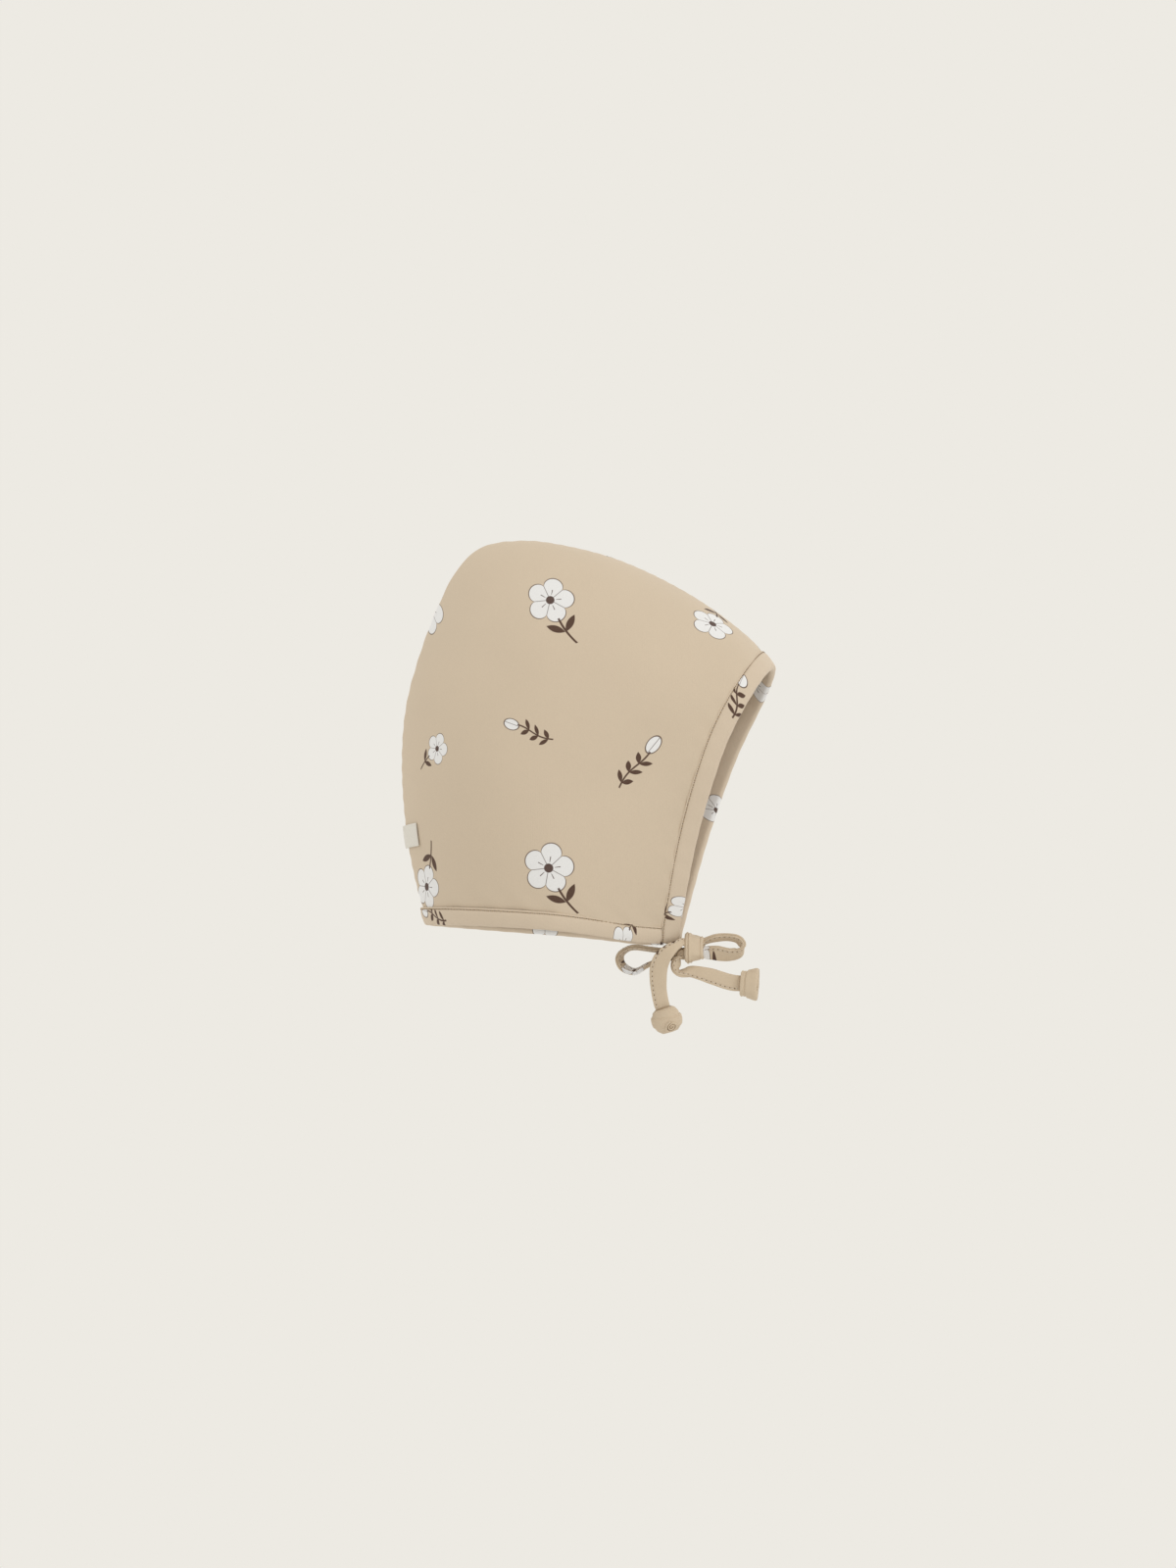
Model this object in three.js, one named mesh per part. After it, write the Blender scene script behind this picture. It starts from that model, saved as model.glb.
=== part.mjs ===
// A baby's pixie bonnet: two jersey panels sewn together over the crown and down the back, a folded
// binding round the face and along the neck, and two ties in a bow under the chin.
// Millimetres, +Z up. The wearer looks along -Y, and their right side is -X.
// The origin is the inside of the crown, where the top of the head bears.
import * as THREE from 'three';

// Driving dimensions of the bonnet
const hatDepth = 176;
const hatHeight = 187;
const hatHalfWidth = 56;
const neckHalfWidth = 41;
const clothWall = 1.4;
const seamGap = 0.3;

// Bindings
const bindingWidth = 8.5;
const bindingWall = 1.1;
const bindingGap = 0.3;

// Woven tab in the back seam
const labelLength = 15.5;
const labelHeight = 10.6;
const labelWall = 0.7;
const labelGap = 0.3;
const labelPlace = 0.2;

// Ties and bow
const tieWidth = 8;
const tieWall = 2;
const tieGap = 0.3;
const tieDrop = 2.1;
const tieBend = 3.4;
const tiePinch = 0.5;
const tieStart = 0.33;
const rightTieInKnot = -2.7;
const leftTieInKnot = 6.2;
const knotLength = 8.6;
const knotHeight = 14;
const knotThickness = 18.8;
const knotSide = -1.5;
const knotAhead = 8.4;
const knotBelow = 3.2;
const ballLength = 11.5;
const ballDiameter = 13.4;
const drumLength = 8.2;
const drumDiameter = 14;
const wrapRoundness = 0.62;
const drumRoundness = 0.8;
const ballRoundness = 0.9;
const drumFlatness = 0.8;
const ballFlatness = 0.9;

// Mesh fineness
const frontCells = 9;
const backCells = 12;
const lowerCells = 8;
const upperCells = 13;
const stationsPerRow = 3;
const knotSides = 14;
const labelCells = 6;
const lengthsPerRow = 40;

// Side view of a panel, as shares of the depth and height. Its four corners are the front top, the
// peak, the nape and the chin. The crown and back rows lie on the centre seam between the corners,
// the face rows on the open front edge from the chin up, and the hem rows on the neck edge.
const frontTop = { back: -0.493, up: -0.285 };
const peak = { back: 0.324, up: -0.003 };
const nape = { back: 0.431, up: -0.924 };
const chin = { back: -0.239, up: -0.973 };
const crownRows = [
  { back: -0.428, up: -0.21 },
  { back: -0.272, up: -0.102 },
  { back: -0.0835, up: -0.015 },
  { back: 0.1045, up: 0.0294 },
  { back: 0.212, up: 0.0342 },
  { back: 0.277, up: 0.023 },
];
const backRows = [
  { back: 0.369, up: -0.059 },
  { back: 0.4085, up: -0.136 },
  { back: 0.4545, up: -0.2513 },
  { back: 0.4915, up: -0.385 },
  { back: 0.5017, up: -0.5337 },
  { back: 0.4886, up: -0.701 },
  { back: 0.4602, up: -0.8396 },
];
const faceRows = [
  { back: -0.248, up: -0.92 },
  { back: -0.297, up: -0.724 },
  { back: -0.355, up: -0.551 },
  { back: -0.4035, up: -0.441 },
];
const hemRows = [
  { back: -0.14, up: -0.97 },
  { back: -0.05, up: -0.9595 },
  { back: 0.08, up: -0.9455 },
  { back: 0.29, up: -0.9315 },
];

// How the half width runs: full at these shares of the panel, and narrower towards its edges. The
// panels meet on a ridge down the back, which backRidge sharpens from 0.5, round, towards 1.
const fullAt = { along: 0.5, up: 0.42 };
const crownRound = { back: 2.2, front: 3.5 };
const faceShare = { chin: 0.12, top: 0.94, bend: 0.7 };
const chinEase = 0.5;
const backRidge = 0.88;

// Thin edges of a strip, and the round fold of a binding, as shares of their thickness
const stripShoulder = 0.6;
const foldRound = { out: 0.75, across: 0.72 };

// Routes of the strips, from the middle of the bow knot. ahead, up and side place the strip's
// middle, the wide columns point across its width, and pinch is the share of its width.
const knotFace = knotLength / 2 + tieGap;
const frontLoopRoute = [
  { ahead: knotFace, up: 3.2, side: 0, wideAhead: 0, wideUp: -0.3, wideSide: 1, pinch: 0.6 },
  { ahead: 10.3, up: 4.6, side: 0, wideAhead: 0, wideUp: -0.3, wideSide: 1, pinch: 0.95 },
  { ahead: 15.8, up: 5, side: 0, wideAhead: 0, wideUp: -0.3, wideSide: 1, pinch: 1 },
  { ahead: 20, up: 3.9, side: 0, wideAhead: -0.2, wideUp: -0.3, wideSide: 1, pinch: 1 },
  { ahead: 22.1, up: 0.9, side: 0, wideAhead: -0.3, wideUp: -0.4, wideSide: 1, pinch: 1 },
  { ahead: 20.6, up: -2.2, side: 0, wideAhead: 0, wideUp: -0.6, wideSide: 1, pinch: 1 },
  { ahead: 16.6, up: -3.2, side: 0, wideAhead: 0, wideUp: -0.8, wideSide: 1, pinch: 1 },
  { ahead: 10.6, up: -2.6, side: 0, wideAhead: 0, wideUp: -1.1, wideSide: 0.7, pinch: 0.98 },
  { ahead: knotFace, up: -2.1, side: 0, wideAhead: 0, wideUp: -1, wideSide: 0.45, pinch: 0.75 },
];
const backLoopRoute = [
  { ahead: -knotFace, up: -0.8, side: 1.7, wideAhead: 0, wideUp: 0, wideSide: 1, pinch: 0.6 },
  { ahead: -11, up: -1.3, side: 1, wideAhead: 0, wideUp: -0.1, wideSide: 1, pinch: 0.9 },
  { ahead: -17.3, up: -1.1, side: 0, wideAhead: 0, wideUp: -0.1, wideSide: 1, pinch: 1 },
  { ahead: -28.3, up: 0.3, side: 0, wideAhead: 0, wideUp: -0.1, wideSide: 1, pinch: 1 },
  { ahead: -33.9, up: -1.7, side: 0, wideAhead: 0.2, wideUp: 0, wideSide: 1, pinch: 1 },
  { ahead: -35.5, up: -5, side: 0, wideAhead: 0.3, wideUp: 0.1, wideSide: 1, pinch: 1 },
  { ahead: -33.5, up: -9, side: 0, wideAhead: 0.25, wideUp: 0.25, wideSide: 1, pinch: 1 },
  { ahead: -28.3, up: -11, side: 0, wideAhead: 0, wideUp: 0.3, wideSide: 1, pinch: 1 },
  { ahead: -22.3, up: -7.9, side: 0, wideAhead: 0, wideUp: 0.2, wideSide: 1, pinch: 1 },
  { ahead: -13, up: -5, side: 1, wideAhead: 0, wideUp: 0.1, wideSide: 1, pinch: 0.9 },
  { ahead: -knotFace, up: -4.2, side: 1.7, wideAhead: 0, wideUp: 0, wideSide: 1, pinch: 0.6 },
];
const backTailRoute = [
  { ahead: -knotFace, up: 2.4, side: -9, wideAhead: 0.5, wideUp: -0.85, wideSide: 0, pinch: 0.4 },
  { ahead: -7.8, up: 0.9, side: -11.4, wideAhead: 0.55, wideUp: -0.83, wideSide: 0, pinch: 0.55 },
  { ahead: -11.3, up: -1.6, side: -12, wideAhead: 0.65, wideUp: -0.75, wideSide: 0, pinch: 0.8 },
  { ahead: -14.6, up: -5.3, side: -11, wideAhead: 0.85, wideUp: -0.5, wideSide: 0, pinch: 1 },
  { ahead: -16.4, up: -9.6, side: -9.4, wideAhead: 0.97, wideUp: -0.2, wideSide: 0, pinch: 1.05 },
  { ahead: -16.8, up: -15, side: -7.4, wideAhead: 1, wideUp: -0.1, wideSide: 0, pinch: 1 },
  { ahead: -16.6, up: -20.3, side: -5.6, wideAhead: 1, wideUp: -0.02, wideSide: 0, pinch: 0.92 },
  { ahead: -15.7, up: -25.4, side: -4.6, wideAhead: 1, wideUp: 0.05, wideSide: 0, pinch: 0.9 },
  { ahead: -14.9, up: -28, side: -4.2, wideAhead: 1, wideUp: 0.15, wideSide: 0, pinch: 0.88 },
];
const frontTailRoute = [
  { ahead: -knotFace, up: -2.6, side: -5.9, wideAhead: 0, wideUp: 1, wideSide: 0, pinch: 0.5 },
  { ahead: -7.2, up: -4.4, side: -6.3, wideAhead: 0.4, wideUp: 0.8, wideSide: 0.4, pinch: 0.5 },
  { ahead: -8.6, up: -7.6, side: -6, wideAhead: 0.8, wideUp: 0.1, wideSide: 0.5, pinch: 0.62 },
  { ahead: -8.7, up: -10.4, side: -5.2, wideAhead: 0.4, wideUp: 0, wideSide: 0.9, pinch: 0.58 },
  { ahead: -7, up: -12, side: -4, wideAhead: 0, wideUp: 0.35, wideSide: 0.9, pinch: 0.55 },
  { ahead: -4.4, up: -11.6, side: -3, wideAhead: 0, wideUp: 0.8, wideSide: 0.6, pinch: 0.55 },
  { ahead: -1, up: -11.2, side: -2.4, wideAhead: 0.1, wideUp: 1, wideSide: 0, pinch: 0.7 },
  { ahead: 7.2, up: -13.2, side: -2.6, wideAhead: 0.4, wideUp: 1, wideSide: 0, pinch: 0.92 },
  { ahead: 14.5, up: -15.6, side: -2.7, wideAhead: 0.3, wideUp: 1, wideSide: 0, pinch: 0.95 },
  { ahead: 18.4, up: -16.5, side: -2.8, wideAhead: 0.15, wideUp: 1, wideSide: 0, pinch: 0.95 },
  { ahead: 21.2, up: -16.7, side: -2.8, wideAhead: 0.05, wideUp: 1, wideSide: 0, pinch: 0.92 },
];

function inSideView(share) {
  return new THREE.Vector3(0, share.back * hatDepth, share.up * hatHeight);
}

function curveThrough(shares) {
  const curve = new THREE.CatmullRomCurve3(shares.map(inSideView), false, 'catmullrom', 0.5);
  curve.arcLengthDivisions = (shares.length - 1) * lengthsPerRow;
  return curve;
}

const seamCurve = curveThrough([frontTop, ...crownRows, peak, ...backRows, nape]);
const faceCurve = curveThrough([chin, ...faceRows, frontTop]);
const hemCurve = curveThrough([chin, ...hemRows, nape]);
const seamLengths = seamCurve.getLengths();
const peakShare = seamLengths[(crownRows.length + 1) * lengthsPerRow] / seamLengths.at(-1);
const corner = {
  chin: inSideView(chin),
  nape: inSideView(nape),
  frontTop: inSideView(frontTop),
  peak: inSideView(peak),
};

// Side view of a panel: u runs from the face to the back seam, v from the neck to the crown seam.
// The four edges are blended, and the doubled corners taken off again.
function sideView(u, v) {
  const face = faceCurve.getPointAt(v);
  const back = seamCurve.getPointAt(1 - v * (1 - peakShare));
  const hem = hemCurve.getPointAt(u);
  const crown = seamCurve.getPointAt(u * peakShare);
  return new THREE.Vector3()
    .addScaledVector(face, 1 - u)
    .addScaledVector(back, u)
    .addScaledVector(hem, 1 - v)
    .addScaledVector(crown, v)
    .addScaledVector(corner.chin, -(1 - u) * (1 - v))
    .addScaledVector(corner.nape, -u * (1 - v))
    .addScaledVector(corner.frontTop, -(1 - u) * v)
    .addScaledVector(corner.peak, -u * v);
}

// Half width: an oval that closes at the crown seam and on the ridge of the back seam, and draws in
// to the chin
function halfWidth(u, v) {
  const round = crownRound.back + (crownRound.front - crownRound.back) * (1 - u) ** 2;
  const above = (v - fullAt.up) / (1 - fullAt.up);
  const below = (fullAt.up - v) / fullAt.up;
  const rise = v > fullAt.up
    ? Math.sqrt(Math.max(0, 1 - above ** round))
    : 1 - (1 - neckHalfWidth / hatHalfWidth) * below ** 2;
  const behind = (u - fullAt.along) / (1 - fullAt.along);
  const ahead = (fullAt.along - u) / fullAt.along;
  const atFace = faceShare.chin + (faceShare.top - faceShare.chin) * v ** faceShare.bend;
  const ease = (1 - chinEase) * ahead ** 2 * (3 - 2 * ahead) + chinEase * ahead ** 2;
  const sweep = u > fullAt.along
    ? Math.max(0, 1 - behind ** 2) ** backRidge
    : 1 - (1 - atFace) * ease;
  return hatHalfWidth * rise * sweep;
}

// Outside of the wearer's left panel; the other panel is its mirror image
function surfacePoint(u, v) {
  const point = sideView(u, v);
  point.x = halfWidth(u, v) + seamGap / 2;
  return point;
}

function surfaceNormal(u, v) {
  const step = 1e-4;
  const low = (t) => Math.max(0, Math.min(t, 1) - step);
  const high = (t) => Math.min(1, Math.max(t, 0) + step);
  const alongU = surfacePoint(high(u), v).sub(surfacePoint(low(u), v));
  const alongV = surfacePoint(u, high(v)).sub(surfacePoint(u, low(v)));
  const normal = alongU.cross(alongV).normalize();
  if (u >= 1 || v >= 1) normal.setX(0).normalize();
  return normal;
}

// Grid lines: one band as wide as the binding along the open edges, then even steps up to the
// fullest place, and from there sine steps that close up towards the seams
function bandShare(u, v, towardU) {
  const step = 0.05;
  const from = surfacePoint(u, v);
  const to = towardU ? surfacePoint(u + step, v) : surfacePoint(u, v + step);
  return (bindingWidth * step) / from.distanceTo(to);
}

function gridShare(index, band, full, openCells, seamCells) {
  if (index === 0) return 0;
  if (index <= openCells) return band + ((full - band) * (index - 1)) / (openCells - 1);
  return full + (1 - full) * Math.sin(((index - openCells) / seamCells) * (Math.PI / 2));
}

const columns = frontCells + backCells;
const rows = lowerCells + upperCells;
const nearSeam = 0.999;

function uAt(j, v) {
  return gridShare(j, bandShare(0, Math.min(v, nearSeam), true), fullAt.along, frontCells, backCells);
}

function vAt(i, u) {
  return gridShare(i, bandShare(Math.min(u, nearSeam), 0, false), fullAt.up, lowerCells, upperCells);
}

function panelGrid() {
  const grid = [];
  for (let j = 0; j <= columns; j++) {
    const line = [];
    for (let i = 0; i <= rows; i++) {
      const u = uAt(j, vAt(i, 0));
      const v = vAt(i, uAt(j, 0));
      line.push({ point: surfacePoint(u, v), normal: surfaceNormal(u, v) });
    }
    grid.push(line);
  }
  return grid;
}

const grid = panelGrid();

// A node of the grid moved out along its normal, kept on its own side of the seam
function offset(node, distance) {
  const moved = node.point.clone().addScaledVector(node.normal, distance);
  moved.x = Math.max(moved.x, seamGap / 2);
  return moved;
}

function mirrored(point, side) {
  return new THREE.Vector3(point.x * side, point.y, point.z);
}

// The quads between rings of equal length
function ringSides(rings) {
  const size = rings[0].length;
  const index = [];
  for (let r = 0; r + 1 < rings.length; r++) {
    for (let k = 0; k < size; k++) {
      const [a, b] = [r * size + k, r * size + ((k + 1) % size)];
      index.push(a, b, b + size, a, b + size, a + size);
    }
  }
  return index;
}

// A closed body of rings that each run out along one sheet and back along the other
function bodyOfSheets(rings, capPairs) {
  const size = rings[0].length;
  const index = ringSides(rings);
  const quad = (a, b, c, d) => index.push(a, b, c, a, c, d);
  const last = (rings.length - 1) * size;
  for (let k = 0; k < capPairs; k++) {
    const across = size - 1 - k;
    quad(k, across, across - 1, k + 1);
    quad(last + k, last + k + 1, last + across - 1, last + across);
  }
  return closedGeometry(rings.flat(), index);
}

function signedVolume(points, index) {
  let total = 0;
  for (let t = 0; t < index.length; t += 3) {
    const [a, b, c] = [points[index[t]], points[index[t + 1]], points[index[t + 2]]];
    total += a.dot(new THREE.Vector3().crossVectors(b, c)) / 6;
  }
  return total;
}

// A body whose faces point out, and without the triangles that have lost their area
function closedGeometry(points, index) {
  const solid = [];
  const facesOut = signedVolume(points, index) > 0;
  for (let t = 0; t < index.length; t += 3) {
    const [a, b, c] = [index[t], index[t + 1], index[t + 2]];
    if (a === b || b === c || c === a) continue;
    solid.push(a, facesOut ? b : c, facesOut ? c : b);
  }
  const geometry = new THREE.BufferGeometry();
  const places = points.flatMap((point) => point.toArray());
  geometry.setAttribute('position', new THREE.Float32BufferAttribute(places, 3));
  geometry.setIndex(solid);
  geometry.computeVertexNormals();
  return geometry;
}

// One panel: the outer and the inner sheet of the grid and the rim between them
function panelGeometry(side) {
  const points = [];
  const outer = (j, i) => j * (rows + 1) + i;
  const inner = (j, i) => (columns + 1 + j) * (rows + 1) + i;
  for (const distance of [0, -clothWall]) {
    for (const line of grid) {
      for (const node of line) points.push(mirrored(offset(node, distance), side));
    }
  }
  const index = [];
  const quad = (a, b, c, d) => index.push(a, b, c, a, c, d);
  for (let j = 0; j < columns; j++) {
    for (let i = 0; i < rows; i++) {
      quad(outer(j, i), outer(j + 1, i), outer(j + 1, i + 1), outer(j, i + 1));
      quad(inner(j, i), inner(j, i + 1), inner(j + 1, i + 1), inner(j + 1, i));
    }
    quad(outer(j, 0), inner(j, 0), inner(j + 1, 0), outer(j + 1, 0));
    quad(outer(j, rows), outer(j + 1, rows), inner(j + 1, rows), inner(j, rows));
  }
  for (let i = 0; i < rows; i++) {
    quad(outer(0, i), outer(0, i + 1), inner(0, i + 1), inner(0, i));
    quad(outer(columns, i), inner(columns, i), inner(columns, i + 1), outer(columns, i + 1));
  }
  return closedGeometry(points, index);
}

// Section of a binding where a panel edge node has its neighbour one band further in: a strip that
// lies on the outside, folds round the edge and lies on the inside. Outer contour first, then inner.
function bindingSection(edge, further) {
  const away = edge.point.clone().sub(further.point).normalize();
  const contour = (clear) => {
    const outside = clear;
    const inside = -clothWall - clear;
    const middle = -clothWall / 2;
    const fold = (out, height) => offset(edge, height).addScaledVector(away, out);
    return [
      offset(further, outside),
      offset(edge, outside),
      fold(clear * foldRound.out, middle + (outside - middle) * foldRound.across),
      fold(clear, middle),
      fold(clear * foldRound.out, middle + (inside - middle) * foldRound.across),
      offset(edge, inside),
      offset(further, inside),
    ];
  };
  return [...contour(bindingGap + bindingWall), ...contour(bindingGap).reverse()];
}

function between(a, b, share) {
  return {
    point: a.point.clone().lerp(b.point, share),
    normal: a.normal.clone().lerp(b.normal, share).normalize(),
  };
}

// A binding runs along one panel, over the seam and back along the other panel
function bindingGeometry(sections) {
  const right = sections.map((ring) => ring.map((point) => mirrored(point, -1)));
  const left = sections.map((ring) => ring.map((point) => mirrored(point, 1))).reverse();
  return bodyOfSheets([...right, ...left], right[0].length / 2 - 1);
}

function faceBindingSections() {
  const sections = [];
  const overhang = bindingGap + bindingWall;
  const below = (j) => between(grid[j][0], grid[j][1], -overhang / bindingWidth);
  sections.push(bindingSection(below(0), below(1)));
  for (let i = 0; i <= rows; i++) sections.push(bindingSection(grid[0][i], grid[1][i]));
  return sections;
}

function neckBindingSections() {
  const sections = [];
  const start = (i) => {
    const cell = grid[1][i].point.distanceTo(grid[2][i].point);
    return between(grid[1][i], grid[2][i], bindingGap / cell);
  };
  sections.push(bindingSection(start(0), start(1)));
  for (let j = 2; j <= columns; j++) sections.push(bindingSection(grid[j][0], grid[j][1]));
  return sections;
}

// Shares along the panel at even distances from the back seam, found in small steps over the cloth
function labelReaches() {
  const step = 2e-4;
  const found = [1];
  let reach = 0;
  let u = 1;
  while (found.length <= labelCells) {
    reach += surfacePoint(u, labelPlace).distanceTo(surfacePoint(u - step, labelPlace));
    u -= step;
    if (reach >= (labelLength * found.length) / labelCells) found.push(u);
  }
  return found;
}

// The tab lies on the wearer's right panel, its short edge in the back seam
function labelGeometry() {
  const seamSpan = seamCurve.getLength() * (1 - peakShare);
  const reaches = labelReaches();
  const rings = [];
  for (let a = 0; a <= labelCells; a++) {
    const outerRow = [];
    const innerRow = [];
    for (let b = 0; b <= labelCells; b++) {
      const u = reaches[b];
      const v = labelPlace + ((a / labelCells) * labelHeight) / seamSpan;
      const node = { point: surfacePoint(u, v), normal: surfaceNormal(u, v) };
      outerRow.push(mirrored(offset(node, labelGap + labelWall), -1));
      innerRow.push(mirrored(offset(node, labelGap), -1));
    }
    rings.push([...outerRow, ...innerRow.reverse()]);
  }
  return bodyOfSheets(rings, labelCells);
}

// The middle of the bow knot hangs ahead of and below the two chin corners
const knotCentre = new THREE.Vector3(0, corner.chin.y - knotAhead, corner.chin.z - knotBelow);

function fromKnot(ahead, up, side) {
  return new THREE.Vector3(side, -ahead, up);
}

// A flat strip along a route: six-sided sections with thin edges, square to the route
function stripGeometry(route) {
  const stops = route.map((row) => fromKnot(row.ahead, row.up, row.side));
  const middle = new THREE.CatmullRomCurve3(stops, false, 'catmullrom', 0.5);
  const count = (route.length - 1) * stationsPerRow;
  const rings = [];
  for (let s = 0; s <= count; s++) {
    const row = Math.min(Math.floor(s / stationsPerRow), route.length - 2);
    const [before, after] = [route[row], route[row + 1]];
    const share = s / stationsPerRow - row;
    const blend = (column) => before[column] * (1 - share) + after[column] * share;
    const point = middle.getPoint(s / count);
    const atKnot = Math.abs(Math.abs(blend('ahead')) - knotFace) < 1e-6;
    const tangent = middle.getTangent(s / count);
    if (atKnot) tangent.set(0, Math.sign(tangent.y), 0);
    const wide = fromKnot(blend('wideAhead'), blend('wideUp'), blend('wideSide'));
    wide.addScaledVector(tangent, -wide.dot(tangent)).normalize();
    const flat = new THREE.Vector3().crossVectors(tangent, wide);
    const halfWide = (tieWidth * blend('pinch')) / 2;
    const halfThick = tieWall / 2;
    const shoulder = halfWide - halfThick * stripShoulder;
    const at = (across, out) => point.clone().addScaledVector(wide, across).addScaledVector(flat, out);
    rings.push([
      at(halfWide, 0),
      at(shoulder, halfThick),
      at(-shoulder, halfThick),
      at(-halfWide, 0),
      at(-shoulder, -halfThick),
      at(shoulder, -halfThick),
    ]);
  }
  return bodyOfRounds(rings);
}

// A closed body of rings that are each one round, with a fan on both ends
function bodyOfRounds(rings) {
  const size = rings[0].length;
  const index = ringSides(rings);
  const last = (rings.length - 1) * size;
  for (let k = 1; k + 1 < size; k++) {
    index.push(0, k + 1, k, last, last + k, last + k + 1);
  }
  return closedGeometry(rings.flat(), index);
}

// A tie leaves the lower end of the face binding, bends ahead on a quarter of a circle, across
// which it nears its place in the knot, and runs straight into the knot's back.
function tieRoute(startSide, inKnot) {
  const start = between(grid[0][0], grid[1][0], tieStart).point;
  const first = {
    ahead: knotCentre.y - start.y,
    up: start.z - bindingGap - bindingWall - tieDrop - knotCentre.z,
    side: startSide * start.x,
  };
  const bend = [0, 1 / 3, 2 / 3, 1].map((share) => {
    const angle = (share * Math.PI) / 2;
    return {
      ahead: first.ahead + tieBend * (1 - Math.cos(angle)),
      up: first.up - tieBend * Math.sin(angle),
      side: THREE.MathUtils.lerp(first.side, inKnot, share),
      wideAhead: Math.cos(angle),
      wideUp: Math.sin(angle),
      wideSide: 0,
      pinch: tiePinch,
    };
  });
  return [...bend, { ...bend.at(-1), ahead: -knotFace }];
}

// A knot is a rounded body along one axis: rings whose half sizes follow shares of its length
function knotGeometry(length, profile, halfAcross, halfUp, roundness) {
  const rings = profile.map(({ along, girth }) => {
    const ring = [];
    for (let k = 0; k < knotSides; k++) {
      const angle = (2 * Math.PI * k) / knotSides;
      const squared = (value) => Math.sign(value) * Math.abs(value) ** roundness;
      ring.push(new THREE.Vector3(
        squared(Math.cos(angle)) * halfAcross * girth,
        along * length,
        squared(Math.sin(angle)) * halfUp * girth,
      ));
    }
    return ring;
  });
  return bodyOfRounds(rings);
}

const wrapProfile = [
  { along: -0.5, girth: 0.66 },
  { along: -0.38, girth: 0.74 },
  { along: 0, girth: 0.87 },
  { along: 0.38, girth: 0.99 },
  { along: 0.5, girth: 0.95 },
];
const ballProfile = [
  { along: -0.5, girth: 0.62 },
  { along: -0.42, girth: 0.82 },
  { along: -0.2, girth: 0.97 },
  { along: 0.08, girth: 1 },
  { along: 0.33, girth: 0.85 },
  { along: 0.5, girth: 0.52 },
];
const drumProfile = [
  { along: -0.5, girth: 0.72 },
  { along: -0.42, girth: 0.82 },
  { along: 0, girth: 0.92 },
  { along: 0.4, girth: 1.04 },
  { along: 0.5, girth: 0.98 },
];

// Places a knot that was made along Y so that it continues the last stretch of a tail
function placeEndKnot(mesh, length, route) {
  const last = route.at(-1);
  const before = route.at(-2);
  const end = fromKnot(last.ahead, last.up, last.side);
  const direction = end.clone().sub(fromKnot(before.ahead, before.up, before.side)).normalize();
  mesh.position.copy(end).addScaledVector(direction, length / 2 + tieGap);
  mesh.quaternion.setFromUnitVectors(new THREE.Vector3(0, 1, 0), direction);
  return mesh;
}

const jersey = new THREE.MeshStandardMaterial({ color: 0xccbaa2, roughness: 0.9, metalness: 0 });
const bindingJersey = new THREE.MeshStandardMaterial({ color: 0xcbb89e, roughness: 0.88, metalness: 0 });
const tieJersey = new THREE.MeshStandardMaterial({ color: 0xc9b598, roughness: 0.88, metalness: 0 });
const wovenTab = new THREE.MeshStandardMaterial({ color: 0xe8e2d6, roughness: 0.8, metalness: 0 });

function piece(name, geometry, material) {
  const mesh = new THREE.Mesh(geometry, material);
  mesh.name = name;
  return mesh;
}

const wrap = piece(
  'bow_knot',
  knotGeometry(knotLength, wrapProfile, knotThickness / 2, knotHeight / 2, wrapRoundness),
  tieJersey,
);
wrap.position.x = knotSide;

const drumHalf = drumDiameter / 2;
const drum = piece(
  'end_knot_front',
  knotGeometry(drumLength, drumProfile, drumHalf * drumFlatness, drumHalf, drumRoundness),
  tieJersey,
);

const ballHalf = ballDiameter / 2;
const ball = piece(
  'end_knot_back',
  knotGeometry(ballLength, ballProfile, ballHalf * ballFlatness, ballHalf, ballRoundness),
  tieJersey,
);

const bow = new THREE.Group();
bow.position.copy(knotCentre);
bow.add(
  wrap,
  piece('bow_loop_front', stripGeometry(frontLoopRoute), tieJersey),
  piece('bow_loop_back', stripGeometry(backLoopRoute), tieJersey),
  piece('tail_front', stripGeometry(frontTailRoute), tieJersey),
  piece('tail_back', stripGeometry(backTailRoute), tieJersey),
  piece('tie_right', stripGeometry(tieRoute(-1, rightTieInKnot)), tieJersey),
  piece('tie_left', stripGeometry(tieRoute(1, leftTieInKnot)), tieJersey),
  placeEndKnot(drum, drumLength, frontTailRoute),
  placeEndKnot(ball, ballLength, backTailRoute),
);

const bonnet = new THREE.Group();
bonnet.add(
  piece('side_panel_right', panelGeometry(-1), jersey),
  piece('side_panel_left', panelGeometry(1), jersey),
  piece('face_binding', bindingGeometry(faceBindingSections()), bindingJersey),
  piece('neck_binding', bindingGeometry(neckBindingSections()), bindingJersey),
  piece('seam_label', labelGeometry(), wovenTab),
  bow,
);

export default bonnet;
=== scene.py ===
"""Looks of a baby's pixie bonnet: two jersey panels, folded bindings, a woven tab and a tied bow.

Blender works in metres. Cloth is measured here in millimetres, in the frame of the model: +Z up,
the wearer looks along -Y and their right side is -X, and the origin is the inside of the crown.
"""
import math

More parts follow.
